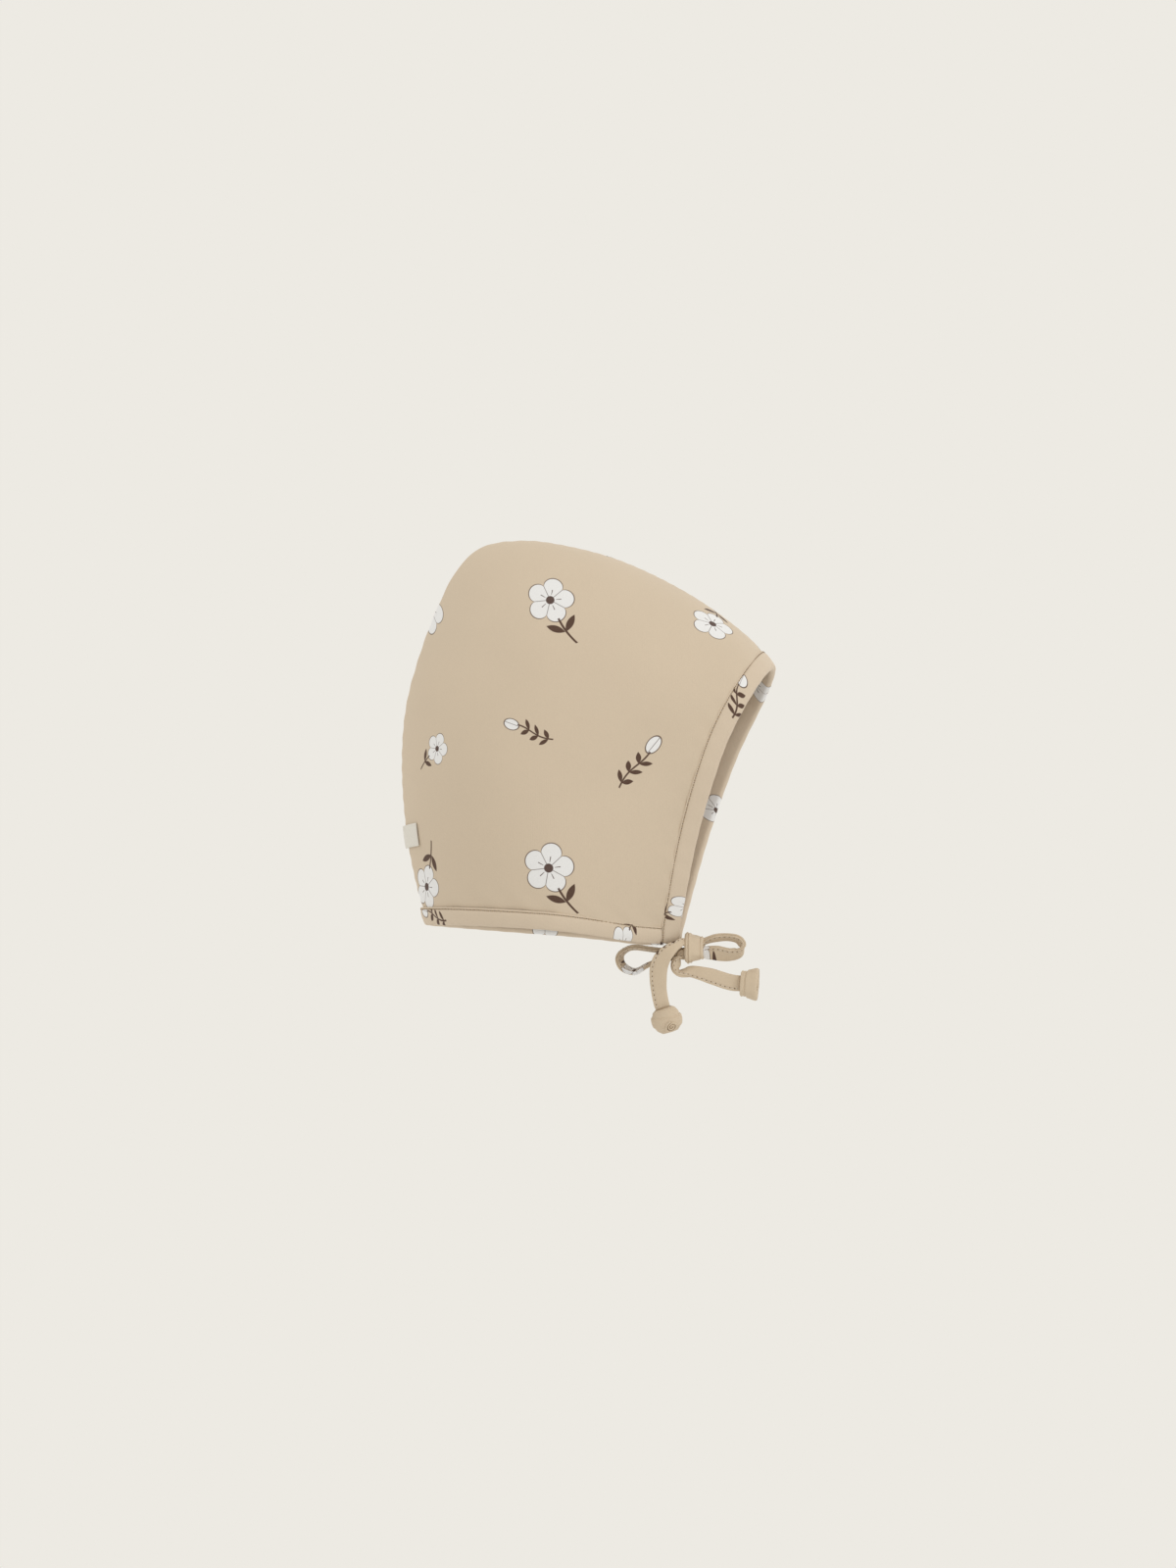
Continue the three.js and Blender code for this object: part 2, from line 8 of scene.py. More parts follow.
import bmesh
import bpy
import numpy as np
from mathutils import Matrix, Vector


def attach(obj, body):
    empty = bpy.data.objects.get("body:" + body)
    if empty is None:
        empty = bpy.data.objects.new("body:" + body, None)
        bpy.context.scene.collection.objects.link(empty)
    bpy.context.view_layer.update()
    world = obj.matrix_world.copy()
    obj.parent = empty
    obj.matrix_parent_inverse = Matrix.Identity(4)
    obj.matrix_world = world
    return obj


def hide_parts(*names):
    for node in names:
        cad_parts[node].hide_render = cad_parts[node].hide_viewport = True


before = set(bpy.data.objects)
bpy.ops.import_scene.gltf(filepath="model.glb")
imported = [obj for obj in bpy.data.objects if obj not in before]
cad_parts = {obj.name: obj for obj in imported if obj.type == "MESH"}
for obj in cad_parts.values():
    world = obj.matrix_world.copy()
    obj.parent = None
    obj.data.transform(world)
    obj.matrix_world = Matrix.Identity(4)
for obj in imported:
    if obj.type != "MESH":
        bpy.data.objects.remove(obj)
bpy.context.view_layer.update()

MM = 0.001
UV_UNIT = 100.0  # millimetres of cloth for one unit of a UV map
WALE_PITCH = 0.85
WARP_PITCH = 0.42
WEFT_PITCH = 0.36

# Driving dimensions, as in the solids
HAT_DEPTH = 176.0
HAT_HEIGHT = 187.0
HAT_HALF_WIDTH = 56.0
NECK_HALF_WIDTH = 41.0
CLOTH_WALL = 1.4
SEAM_GAP = 0.3
BINDING_WIDTH = 8.5
BINDING_RISE = 1.4
LABEL_LENGTH = 15.5
LABEL_HEIGHT = 10.6
LABEL_WALL = 0.7
LABEL_LIFT = 0.35
LABEL_PLACE = 0.2
TIE_WIDTH = 8.0
TIE_WALL = 2.0
KNOT_LENGTH = 8.6
KNOT_HEIGHT = 14.0
KNOT_THICKNESS = 18.8
KNOT_SIDE = -1.5
KNOT_AHEAD = 8.4
KNOT_BELOW = 3.2
TIE_GAP = 0.3
KNOT_FACE = KNOT_LENGTH / 2 + TIE_GAP
STITCH_PITCH = 2.3
CHORDS = 60  # fine chords for each stop of a seam or edge
ROUTE_CHORDS = 40  # the same for each stop of a tie

# Centre seam and open edges in the side view: shares of the depth back and of the height up
FRONT_TOP = (-0.493, -0.285)
PEAK = (0.324, -0.003)
NAPE = (0.431, -0.924)
CHIN = (-0.239, -0.973)
CROWN_ROWS = [
    (-0.428, -0.21),
    (-0.272, -0.102),
    (-0.0835, -0.015),
    (0.1045, 0.0294),
    (0.212, 0.0342),
    (0.277, 0.023),
]
BACK_ROWS = [
    (0.369, -0.059),
    (0.4085, -0.136),
    (0.4545, -0.2513),
    (0.4915, -0.385),
    (0.5017, -0.5337),
    (0.4886, -0.701),
    (0.4602, -0.8396),
]
FACE_ROWS = [(-0.248, -0.92), (-0.297, -0.724), (-0.355, -0.551), (-0.4035, -0.441)]
HEM_ROWS = [(-0.14, -0.97), (-0.05, -0.9595), (0.08, -0.9455), (0.29, -0.9315)]
FULL_ALONG = 0.5
FULL_UP = 0.42
CROWN_ROUND_BACK = 2.2
CROWN_ROUND_FRONT = 3.5
FACE_SHARE_CHIN = 0.12
FACE_SHARE_TOP = 0.94
FACE_SHARE_BEND = 0.7
CHIN_EASE = 0.5
BACK_RIDGE = 0.88

# Routes of the flat strips from the middle of the bow knot: ahead, up and side of the strip's
# middle, then ahead, up and side of the direction across its width, then the share of its width
RIGHT_TIE = [
    (-10.8, 0.3, -6.6, 1, 0, 0, 0.5),
    (-9.4, -2.1, -5.1, 0.7, 0.7, 0, 0.5),
    (-7.3, -3.1, -3.0, 0, 1, 0, 0.5),
]
FRONT_LOOP = [
    (KNOT_FACE, 3.2, 0, 0, -0.3, 1, 0.6),
    (10.3, 4.6, 0, 0, -0.3, 1, 0.95),
    (15.8, 5, 0, 0, -0.3, 1, 1),
    (20, 3.9, 0, -0.2, -0.3, 1, 1),
    (22.1, 0.9, 0, -0.3, -0.4, 1, 1),
    (20.6, -2.2, 0, 0, -0.6, 1, 1),
    (16.6, -3.2, 0, 0, -0.8, 1, 1),
    (10.6, -2.6, 0, 0, -1.1, 0.7, 0.98),
    (KNOT_FACE, -2.1, 0, 0, -1, 0.45, 0.75),
]
BACK_TAIL = [
    (-KNOT_FACE, 2.4, -9, 0.5, -0.85, 0, 0.4),
    (-7.8, 0.9, -11.4, 0.55, -0.83, 0, 0.55),
    (-11.3, -1.6, -12, 0.65, -0.75, 0, 0.8),
    (-14.6, -5.3, -11, 0.85, -0.5, 0, 1),
    (-16.4, -9.6, -9.4, 0.97, -0.2, 0, 1.05),
    (-16.8, -15, -7.4, 1, -0.1, 0, 1),
    (-16.6, -20.3, -5.6, 1, -0.02, 0, 0.92),
    (-15.7, -25.4, -4.6, 1, 0.05, 0, 0.9),
    (-14.9, -28, -4.2, 1, 0.15, 0, 0.88),
]
LEFT_TIE = [
    (-10.8, 0.3, 6.6, 1, 0, 0, 0.5),
    (-9.4, -2.1, 6.5, 0.7, 0.7, 0, 0.5),
    (-7.3, -3.1, 6.2, 0, 1, 0, 0.5),
]
BACK_LOOP = [
    (-KNOT_FACE, -0.8, 1.7, 0, 0, 1, 0.6),
    (-11, -1.3, 1, 0, -0.1, 1, 0.9),
    (-17.3, -1.1, 0, 0, -0.1, 1, 1),
    (-28.3, 0.3, 0, 0, -0.1, 1, 1),
    (-33.9, -1.7, 0, 0.2, 0, 1, 1),
    (-35.5, -5, 0, 0.3, 0.1, 1, 1),
    (-33.5, -9, 0, 0.25, 0.25, 1, 1),
    (-28.3, -11, 0, 0, 0.3, 1, 1),
    (-22.3, -7.9, 0, 0, 0.2, 1, 1),
    (-13, -5, 1, 0, 0.1, 1, 0.9),
    (-KNOT_FACE, -4.2, 1.7, 0, 0, 1, 0.6),
]
FRONT_TAIL = [
    (-KNOT_FACE, -2.6, -5.9, 0, 1, 0, 0.5),
    (-7.2, -4.4, -6.3, 0.4, 0.8, 0.4, 0.5),
    (-8.6, -7.6, -6, 0.8, 0.1, 0.5, 0.62),
    (-8.7, -10.4, -5.2, 0.4, 0, 0.9, 0.58),
    (-7, -12, -4, 0, 0.35, 0.9, 0.55),
    (-4.4, -11.6, -3, 0, 0.8, 0.6, 0.55),
    (-1, -11.2, -2.4, 0.1, 1, 0, 0.7),
    (7.2, -13.2, -2.6, 0.4, 1, 0, 0.92),
    (14.5, -15.6, -2.7, 0.3, 1, 0, 0.95),
    (18.4, -16.5, -2.8, 0.15, 1, 0, 0.95),
    (21.2, -16.7, -2.8, 0.05, 1, 0, 0.92),
]

# Half of a tie's closed section: share of its half width, share of its half thickness. It is a
# strip folded shut, so one edge is round and the other has a slit between two layers.
TIE_SECTION = [
    (1.0, 0.0), (0.985, 0.35), (0.94, 0.62), (0.86, 0.83), (0.72, 0.95), (0.45, 1.0), (0.1, 1.0),
    (-0.25, 0.98), (-0.48, 0.92), (-0.6, 0.8), (-0.68, 0.72), (-0.76, 0.8), (-0.86, 0.9),
    (-0.95, 0.82), (-1.0, 0.52), (-0.97, 0.22), (-0.86, 0.04),
]
TIE_STITCH_ROW = -0.68
STRIP_STEP = 0.5


def vec(*values):
    return np.array(values, float)


def unit(vectors):
    """Each vector divided by its own length."""
    return vectors / np.maximum(np.linalg.norm(vectors, axis=-1, keepdims=True), 1e-12)


def distance_along(line):
    """Distance from the start of a line of points to each of its points."""
    return np.concatenate([[0], np.cumsum(np.linalg.norm(np.diff(line, axis=0), axis=1))])


def spline(stops, at):
    """Smooth curve through the stops: between two stops a cubic whose slope at each stop is half of
    the way from the stop before it to the stop after it. at counts stops, and may be between them."""
    stops = np.asarray(stops, float)
    ends = np.vstack([2 * stops[0] - stops[1], stops, 2 * stops[-1] - stops[-2]])
    first = np.clip(np.floor(at).astype(int), 0, len(stops) - 2)
    t = (np.asarray(at) - first)[:, None]
    a, b, c, d = (ends[first + k] for k in range(4))
    return 0.5 * (
        2 * b + (c - a) * t + (2 * a - 5 * b + 4 * c - d) * t**2 + (3 * b - a - 3 * c + d) * t**3
    )


def by_length(stops, share):
    """Points of the spline at shares of its length, measured along fine chords."""
    at = np.linspace(0, len(stops) - 1, CHORDS * len(stops))
    reached = distance_along(spline(stops, at))
    share = np.asarray(share, float)
    found = np.interp(share.ravel() * reached[-1], reached, at)
    return spline(stops, found).reshape(*share.shape, -1)


def in_side_view(rows):
    """Rows of shares of the depth and height as points back and up."""
    return np.asarray(rows, float) * vec(HAT_DEPTH, HAT_HEIGHT)


SEAM_STOPS = in_side_view([FRONT_TOP, *CROWN_ROWS, PEAK, *BACK_ROWS, NAPE])
FACE_STOPS = in_side_view([CHIN, *FACE_ROWS, FRONT_TOP])
HEM_STOPS = in_side_view([CHIN, *HEM_ROWS, NAPE])


def share_at_stop(stops, number):
    """Share of the spline's length that lies before one of its stops."""
    at = np.linspace(0, len(stops) - 1, CHORDS * (len(stops) - 1) + 1)
    reached = distance_along(spline(stops, at))
    return reached[CHORDS * number] / reached[-1]


PEAK_SHARE = share_at_stop(SEAM_STOPS, len(CROWN_ROWS) + 1)


def side_view(u, v):
    """Back and up of a panel point: u runs from the face to the back seam and v from the neck to the
    crown seam. The four edges are blended, and the doubled corners taken off again."""
    face = by_length(FACE_STOPS, v)
    back = by_length(SEAM_STOPS, 1 - v * (1 - PEAK_SHARE))
    hem = by_length(HEM_STOPS, u)
    crown = by_length(SEAM_STOPS, u * PEAK_SHARE)
    u, v = u[..., None], v[..., None]
    corners = (
        (1 - u) * (1 - v) * HEM_STOPS[0]
        + u * (1 - v) * HEM_STOPS[-1]
        + (1 - u) * v * SEAM_STOPS[0]
        + u * v * in_side_view(PEAK)
    )
    return (1 - u) * face + u * back + (1 - v) * hem + v * crown - corners


def half_width(u, v):
    """Half width of the bonnet: a round shape over the height times one over the depth. Both close at
    the seams, the back one on a ridge, the lower one draws in to the neck and the front one to the
    chin."""
    above = np.clip((v - FULL_UP) / (1 - FULL_UP), 0, 1)
    below = np.clip((FULL_UP - v) / FULL_UP, 0, 1)
    behind = np.clip((u - FULL_ALONG) / (1 - FULL_ALONG), 0, 1)
    ahead = np.clip((FULL_ALONG - u) / FULL_ALONG, 0, 1)
    roundness = CROWN_ROUND_BACK + (CROWN_ROUND_FRONT - CROWN_ROUND_BACK) * (1 - u) ** 2
    rise = np.sqrt(1 - above**roundness) - (1 - NECK_HALF_WIDTH / HAT_HALF_WIDTH) * below**2
    at_face = FACE_SHARE_CHIN + (FACE_SHARE_TOP - FACE_SHARE_CHIN) * v**FACE_SHARE_BEND
    ease = (1 - CHIN_EASE) * ahead**2 * (3 - 2 * ahead) + CHIN_EASE * ahead**2
    sweep = np.clip(1 - behind**2, 0, 1) ** BACK_RIDGE - (1 - at_face) * ease
    return HAT_HALF_WIDTH * rise * sweep


def surface(u, v):
    """Outside of the wearer's left panel, from its half width and its side view."""
    u, v = np.broadcast_arrays(np.asarray(u, float), np.asarray(v, float))
    return np.concatenate([half_width(u, v)[..., None] + SEAM_GAP / 2, side_view(u, v)], axis=-1)


def surface_normal(u, v):
    """Outward direction from short steps both ways. On a seam it has no part across the seam."""
    u, v = np.broadcast_arrays(np.asarray(u, float), np.asarray(v, float))
    step = 1e-4
    along_u = surface(np.minimum(u + step, 1), v) - surface(np.maximum(u - step, 0), v)
    along_v = surface(u, np.minimum(v + step, 1)) - surface(u, np.maximum(v - step, 0))
    normal = unit(np.cross(along_u, along_v))
    normal[..., 0] = np.where((u >= 1) | (v >= 1), 0, normal[..., 0])
    return unit(normal)


def mirrored(points, side):
    """The same points on the wearer's left, side 1, or on their right, side -1."""
    return points * vec(side, 1, 1)


def add_piece(name, points, faces, material, uv=None, weld=False):
    """A smooth mesh from points in millimetres and rows of four corners, turned to face outwards. uv
    gives each point's place on the cloth in millimetres. weld joins points that lie together."""
    a, b, c, d = (points[faces[:, k]] for k in range(4))
    volume = (a * np.cross(b, c)).sum() + (a * np.cross(c, d)).sum()
    if volume < 0:
        faces = faces[:, ::-1]
    mesh = bpy.data.meshes.new(name)
    mesh.vertices.add(len(points))
    mesh.vertices.foreach_set("co", (points * MM).ravel())
    mesh.loops.add(faces.size)
    mesh.loops.foreach_set("vertex_index", faces.ravel().astype(np.int32))
    mesh.polygons.add(len(faces))
    mesh.polygons.foreach_set("loop_start", np.arange(0, faces.size, 4, dtype=np.int32))
    mesh.polygons.foreach_set("use_smooth", np.ones(len(faces), bool))
    if uv is not None:
        layer = mesh.uv_layers.new(name="cloth")
        layer.data.foreach_set("uv", (uv[faces.ravel()] / UV_UNIT).ravel())
    mesh.update(calc_edges=True)
    if weld:
        loose = bmesh.new()
        loose.from_mesh(mesh)
        bmesh.ops.remove_doubles(loose, verts=loose.verts, dist=1e-7)
        loose.to_mesh(mesh)
        loose.free()
    mesh.validate()
    mesh.materials.append(material)
    piece = bpy.data.objects.new(name, mesh)
    bpy.context.scene.collection.objects.link(piece)
    return piece


def fasten(piece, slot, *nodes):
    """Puts a piece on the one body, in place of the nodes that it stands for. The slot argument is not
    used.
    """
    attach(piece, "root")
    if nodes:
        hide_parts(*nodes)


def grid_quads(rows, columns, start=0):
    """Corners of the quads between neighbours of a grid whose points are numbered row by row."""
    row, column = np.meshgrid(np.arange(rows - 1), np.arange(columns - 1), indexing="ij")
    first = start + (row * columns + column).ravel()
    return np.stack([first, first + columns, first + columns + 1, first + 1], axis=1)


def thick_sheet(outer, inner, uv):
    """Points, quads and cloth places of a closed sheet: a grid of outer points, a grid of inner
    points, and a strip of quads between their borders."""
    rows, columns = outer.shape[:2]
    count = rows * columns
    number = np.arange(count).reshape(rows, columns)
    border = np.concatenate([number[:-1, 0], number[-1, :-1], number[:0:-1, -1], number[0, :0:-1]])
    following = np.roll(border, -1)
    rim = np.stack([border, border + count, following + count, following], axis=1)
    faces = np.vstack([grid_quads(rows, columns), grid_quads(rows, columns, count)[:, ::-1], rim])
    points = np.concatenate([outer.reshape(-1, 3), inner.reshape(-1, 3)])
    places = np.concatenate([uv.reshape(-1, 2), uv.reshape(-1, 2)])
    return points, faces, places


def tube(rings, uv):
    """Points, quads and cloth places of a closed tube of rings. The first column comes again at the
    end of each ring, and both ends close at the middle of their ring; add_piece welds them."""
    rings = np.concatenate([rings, rings[:, :1]], axis=1)
    start = np.broadcast_to(rings[0, :-1].mean(axis=0), rings[0].shape)
    end = np.broadcast_to(rings[-1, :-1].mean(axis=0), rings[0].shape)
    rings = np.concatenate([start[None], rings, end[None]])
    uv = np.concatenate([uv[:1], uv, uv[-1:]])
    rows, columns = rings.shape[:2]
    return rings.reshape(-1, 3), grid_quads(rows, columns), uv.reshape(-1, 2)


def even_steps(line, normals, pitch, lead=0.5):
    """Places, directions and normals along a line of points, one pitch apart by its length. lead is
    the first place in pitches."""
    reached = distance_along(line)
    count = int(reached[-1] / pitch)
    want = (np.arange(count) + lead) * reached[-1] / count
    place = np.stack([np.interp(want, reached, line[:, k]) for k in range(3)], axis=1)
    ahead = np.stack([np.interp(want + 0.2, reached, line[:, k]) for k in range(3)], axis=1)
    behind = np.stack([np.interp(want - 0.2, reached, line[:, k]) for k in range(3)], axis=1)
    up = np.stack([np.interp(want, reached, normals[:, k]) for k in range(3)], axis=1)
    return place, unit(ahead - behind), unit(up)


STITCH_RINGS = 6
STITCH_SIDES = 6
STITCH_LENGTH = 1.5
STITCH_THICK = 0.5
# Size of the dark grains of painted shade where the needle went through the cloth
HOLE_SHADE_LENGTH = 0.75
HOLE_SHADE_THICK = 0.42


def stitches(name, rows, material, length, thick):
    """One mesh of many stitches. Each is a bowed grain of thread: half an ellipse over its length,
    sunk at its two ends and round across. rows holds places, directions and normals."""
    place, along, up = (np.concatenate([row[k] for row in rows]) for k in range(3))
    up = unit(up - along * (up * along).sum(axis=1, keepdims=True))
    side = np.cross(along, up)
    t = np.linspace(-1, 1, STITCH_RINGS)
    angle = np.linspace(0, 2 * np.pi, STITCH_SIDES + 1)
    girth = np.sqrt(np.clip(1 - t**4, 0, 1)) * thick / 2
    bow = thick * (0.35 - 0.75 * t**2)
    x = (t * length / 2)[:, None] + 0 * angle
    y = girth[:, None] * np.cos(angle)
    z = girth[:, None] * np.sin(angle) + bow[:, None]
    points = (
        place[:, None, None]
        + x[..., None] * along[:, None, None]
        + y[..., None] * side[:, None, None]
        + z[..., None] * up[:, None, None]
    )
    size = STITCH_RINGS * (STITCH_SIDES + 1)
    one = grid_quads(STITCH_RINGS, STITCH_SIDES + 1)
    faces = (one[None] + size * np.arange(len(place))[:, None, None]).reshape(-1, 4)
    return add_piece(name, points.reshape(-1, 3), faces, material, weld=True)


# Colours as they look in even light, 0 to 255 in sRGB
BACKDROP = (237, 234, 227)
CLOTH = (208, 192, 171)
BINDING_CLOTH = (210, 194, 174)
TIE_CLOTH = (207, 190, 167)
PRINT_WHITE = (233, 234, 236)
PRINT_BROWN = (74, 48, 37)
TAB_CREAM = (237, 233, 224)
# The binding thread's own colour, made darker than the thread is as painted shade of the dips along its
# stitch line
THREAD_TAN_AND_SHADE = (172, 150, 122)
THREAD_PALE = (220, 208, 192)
# Dark brown that paints the shade where the needle went through between stitches; neither cloth nor
# thread has this colour
HOLE_SHADE_COLOUR = (122, 100, 78)


def linear(colour):
    """A colour from 0 to 255 as the share of light that it sends back, for a shader."""
    share = np.array(colour) / 255
    share = np.where(share < 0.04045, share / 12.92, ((share + 0.055) / 1.055) ** 2.4)
    return (*share, 1.0)


def scaled(colour, factor):
    """A colour for a shader, darker or lighter by a factor."""
    return (*(min(value * factor, 1.0) for value in linear(colour)[:3]), 1.0)


class Net:
    """Puts nodes in a tree. Each call returns the socket that comes out."""

    def __init__(self, tree):
        self.tree = tree

    def add(self, kind, inputs=(), out=0, **settings):
        node = self.tree.nodes.new(kind)
        for key, value in settings.items():
            setattr(node, key, value)
        for key, value in dict(inputs).items():
            if isinstance(value, bpy.types.NodeSocket):
                self.tree.links.new(value, node.inputs[key])
            else:
                node.inputs[key].default_value = value
        return node.outputs[out]

    def math(self, operation, *values, clamp=False):
        return self.add("ShaderNodeMath", enumerate(values), operation=operation, use_clamp=clamp)

    def times(self, *values, clamp=False):
        return self.math("MULTIPLY", *values, clamp=clamp)

    def plus(self, *values, clamp=False):
        return self.math("ADD", *values, clamp=clamp)

    def minus(self, *values, clamp=False):
        return self.math("SUBTRACT", *values, clamp=clamp)

    def size(self, value):
        return self.math("ABSOLUTE", value)

    def axis(self, vector, number):
        return self.add("ShaderNodeSeparateXYZ", {0: vector}, out=number)

    def mix(self, share, first, second):
        inputs = {0: share, 6: first, 7: second}
        return self.add("ShaderNodeMix", inputs, out=2, data_type="RGBA")

    def noise(self, vector, scale, detail=2.0):
        inputs = {"Vector": vector, "Scale": scale, "Detail": detail}
        return self.add("ShaderNodeTexNoise", inputs)

    def inside(self, distance, sharp=5.0):
        """1 where the distance in millimetres is above 0, with a soft border."""
        return self.times(distance, sharp, clamp=True)

    def largest(self, first, *rest):
        for value in rest:
            first = self.math("MAXIMUM", first, value)
        return first


def ink_group_start(name):
    """An empty node group that takes a place and gives shares of white and of brown ink."""
    group = bpy.data.node_groups.new(name, "ShaderNodeTree")
    group.interface.new_socket("Place", in_out="INPUT", socket_type="NodeSocketVector")
    for ink in ("White", "Brown"):
        group.interface.new_socket(ink, in_out="OUTPUT", socket_type="NodeSocketFloat")
    return group, Net(group), group.nodes.new("NodeGroupInput").outputs[0]


def motif_group(name, draw):
    """A node group that takes a place in millimetres round a motif's middle and gives the shares of
    white and of brown ink there."""
    group, net, place = ink_group_start(name)
    white, brown = draw(net, net.axis(place, 0), net.axis(place, 1))
    ends = group.nodes.new("NodeGroupOutput")
    group.links.new(white, ends.inputs[0])
    group.links.new(brown, ends.inputs[1])
    return group


def leaf(net, x, y, turn, length, half):
    """Ink of an almond leaf that starts at x 0, y 0 and leans turn radians up from the x direction.
    Its half width is half, less the square of how far a point is from its middle."""
    along = net.plus(net.times(x, math.cos(turn)), net.times(y, math.sin(turn)))
    aside = net.minus(net.times(y, math.cos(turn)), net.times(x, math.sin(turn)))
    off = net.minus(net.math("DIVIDE", along, length / 2), 1.0)
    room = net.times(net.minus(1.0, net.times(off, off)), half)
    return net.inside(net.minus(room, net.size(aside)))


def band(net, value, middle, half):
    """Distance in from the two ends of a band round middle."""
    return net.minus(half, net.size(net.minus(value, middle)))


def draw_blossom(net, x, y):
    """Five round petals with thin outlines round a brown heart, on a bent stem with two leaves. The
    petals' edge is a circle that draws in where the cosine of two and a half turns is small."""
    far = net.math("SQRT", net.plus(net.times(x, x), net.times(y, y)))
    angle = net.math("ARCTAN2", y, x)
    petal = net.size(net.math("COSINE", net.times(net.plus(angle, 0.3), 2.5)))
    reach = net.plus(5.6, net.times(net.math("POWER", petal, 0.6), 3.2))
    within = net.minus(reach, far)
    white = net.inside(within)
    outline = net.inside(net.minus(0.28, net.size(within)))
    between = net.minus(0.2, net.times(petal, net.times(far, 0.4)))
    gaps = net.times(net.inside(between), white)
    vein = net.times(net.inside(net.minus(petal, 0.993), 300.0), net.inside(band(net, far, 3.1, 1.1)))
    heart = net.inside(net.minus(1.7, far))
    bend = net.times(net.math("POWER", net.plus(y, 7.0), 2.0), 0.018)
    across = net.minus(x, bend)
    stem = net.times(net.inside(band(net, across, 0.0, 0.5)), net.inside(band(net, y, -13.2, 5.6)))
    aside = net.size(net.minus(x, 0.4))
    leaves = leaf(net, aside, net.plus(y, 13.4), 0.72, 7.4, 1.35)
    inked = net.largest(net.times(outline, 0.9), gaps, vein, heart, stem, leaves)
    return white, inked


def draw_sprig(net, x, y):
    """A waved stem with pairs of small leaves and an oval bud on top, outlined thinly."""
    sway = net.times(net.math("SINE", net.times(y, 0.3)), 0.8)
    across = net.minus(x, sway)
    stem = net.times(net.inside(band(net, across, 0.0, 0.42)), net.inside(band(net, y, -1.8, 8.6)))
    step = net.minus(net.math("FLOORED_MODULO", net.plus(y, 9.0), 4.6), 0.6)
    pairs = leaf(net, net.size(across), step, 0.75, 4.8, 1.0)
    pairs = net.times(pairs, net.inside(band(net, y, -2.2, 7.0)))
    wide = net.math("DIVIDE", x, 2.3)
    tall = net.math("DIVIDE", net.minus(y, 9.4), 3.6)
    far = net.math("SQRT", net.plus(net.times(wide, wide), net.times(tall, tall)))
    within = net.times(net.minus(1.0, far), 2.4)
    outline = net.inside(net.minus(0.26, net.size(within)))
    fold = net.times(net.inside(band(net, x, 0.2, 0.2)), net.inside(within))
    return net.inside(within), net.largest(outline, fold, stem, pairs)


BLOSSOM = motif_group("blossom", draw_blossom)
SPRIG = motif_group("sprig", draw_sprig)

# One repeat of each print: motif, its middle on the cloth, its turn in degrees and its size
PANEL_REPEAT = (152.0, 128.0)
PANEL_PLACES = [
    (BLOSSOM, (34.0, 36.0), -24.0, 1.36),
    (SPRIG, (76.0, 84.0), 38.0, 1.3),
    (BLOSSOM, (112.0, 30.0), 205.0, 1.18),
    (SPRIG, (26.0, 100.0), -70.0, 1.1),
    (BLOSSOM, (124.0, 94.0), 62.0, 0.85),
]
BAND_REPEAT = (262.0, 40.0)
BAND_PLACES = [
    (BLOSSOM, (21.0, 11.0), 30.0, 0.8),
    (BLOSSOM, (214.0, 17.0), 110.0, 1.0),
    (SPRIG, (236.0, 20.0), 70.0, 0.9),
    (SPRIG, (128.0, 6.0), 100.0, 0.9),
]
TIE_REPEAT = (150.0, 50.0)
TIE_PLACES = [
    (BLOSSOM, (64.0, 4.0), 60.0, 0.8),
    (SPRIG, (84.0, 8.0), 80.0, 0.8),
]


def print_group(name, repeat, places):
    """A whole print as one group: the place on the cloth goes into its repeat, each motif is moved
    and turned there, and the inks of all are joined."""
    group, net, place = ink_group_start(name)
    turns = [net.math("FLOORED_MODULO", net.axis(place, k), repeat[k]) for k in range(2)]
    repeated = net.add("ShaderNodeCombineXYZ", {0: turns[0], 1: turns[1]})
    inks = [[], []]
    for motif, middle, turn, size in places:
        moved = net.add(
            "ShaderNodeVectorMath", {0: repeated, 1: (-middle[0], -middle[1], 0.0)}, operation="ADD"
        )
        inputs = {
            "Vector": moved,
            "Rotation": (0.0, 0.0, math.radians(turn)),
            "Scale": (1 / size, 1 / size, 1.0),
        }
        turned = net.add("ShaderNodeMapping", inputs)
        node = group.nodes.new("ShaderNodeGroup")
        node.node_tree = motif
        group.links.new(turned, node.inputs[0])
        inks[0].append(node.outputs[0])
        inks[1].append(node.outputs[1])
    ends = group.nodes.new("NodeGroupOutput")
    group.links.new(net.largest(*inks[0]), ends.inputs[0])
    group.links.new(net.largest(*inks[1]), ends.inputs[1])
    return group


PANEL_PRINT = print_group("panel_print", PANEL_REPEAT, PANEL_PLACES)
BAND_PRINT = print_group("band_print", BAND_REPEAT, BAND_PLACES)
TIE_PRINT = print_group("tie_print", TIE_REPEAT, TIE_PLACES)


def new_material(name, colour, roughness, sheen):
    """A material whose shader has its constant values set, with its tree and shader."""
    material = bpy.data.materials.new(name)
    material.use_nodes = True
    shader = material.node_tree.nodes["Principled BSDF"]
    shader.inputs["Base Color"].default_value = colour
    shader.inputs["Roughness"].default_value = roughness
    shader.inputs["Specular IOR Level"].default_value = 0.25
    shader.inputs["Sheen Weight"].default_value = sheen
    shader.inputs["Sheen Roughness"].default_value = 0.45
    return material, Net(material.node_tree), shader


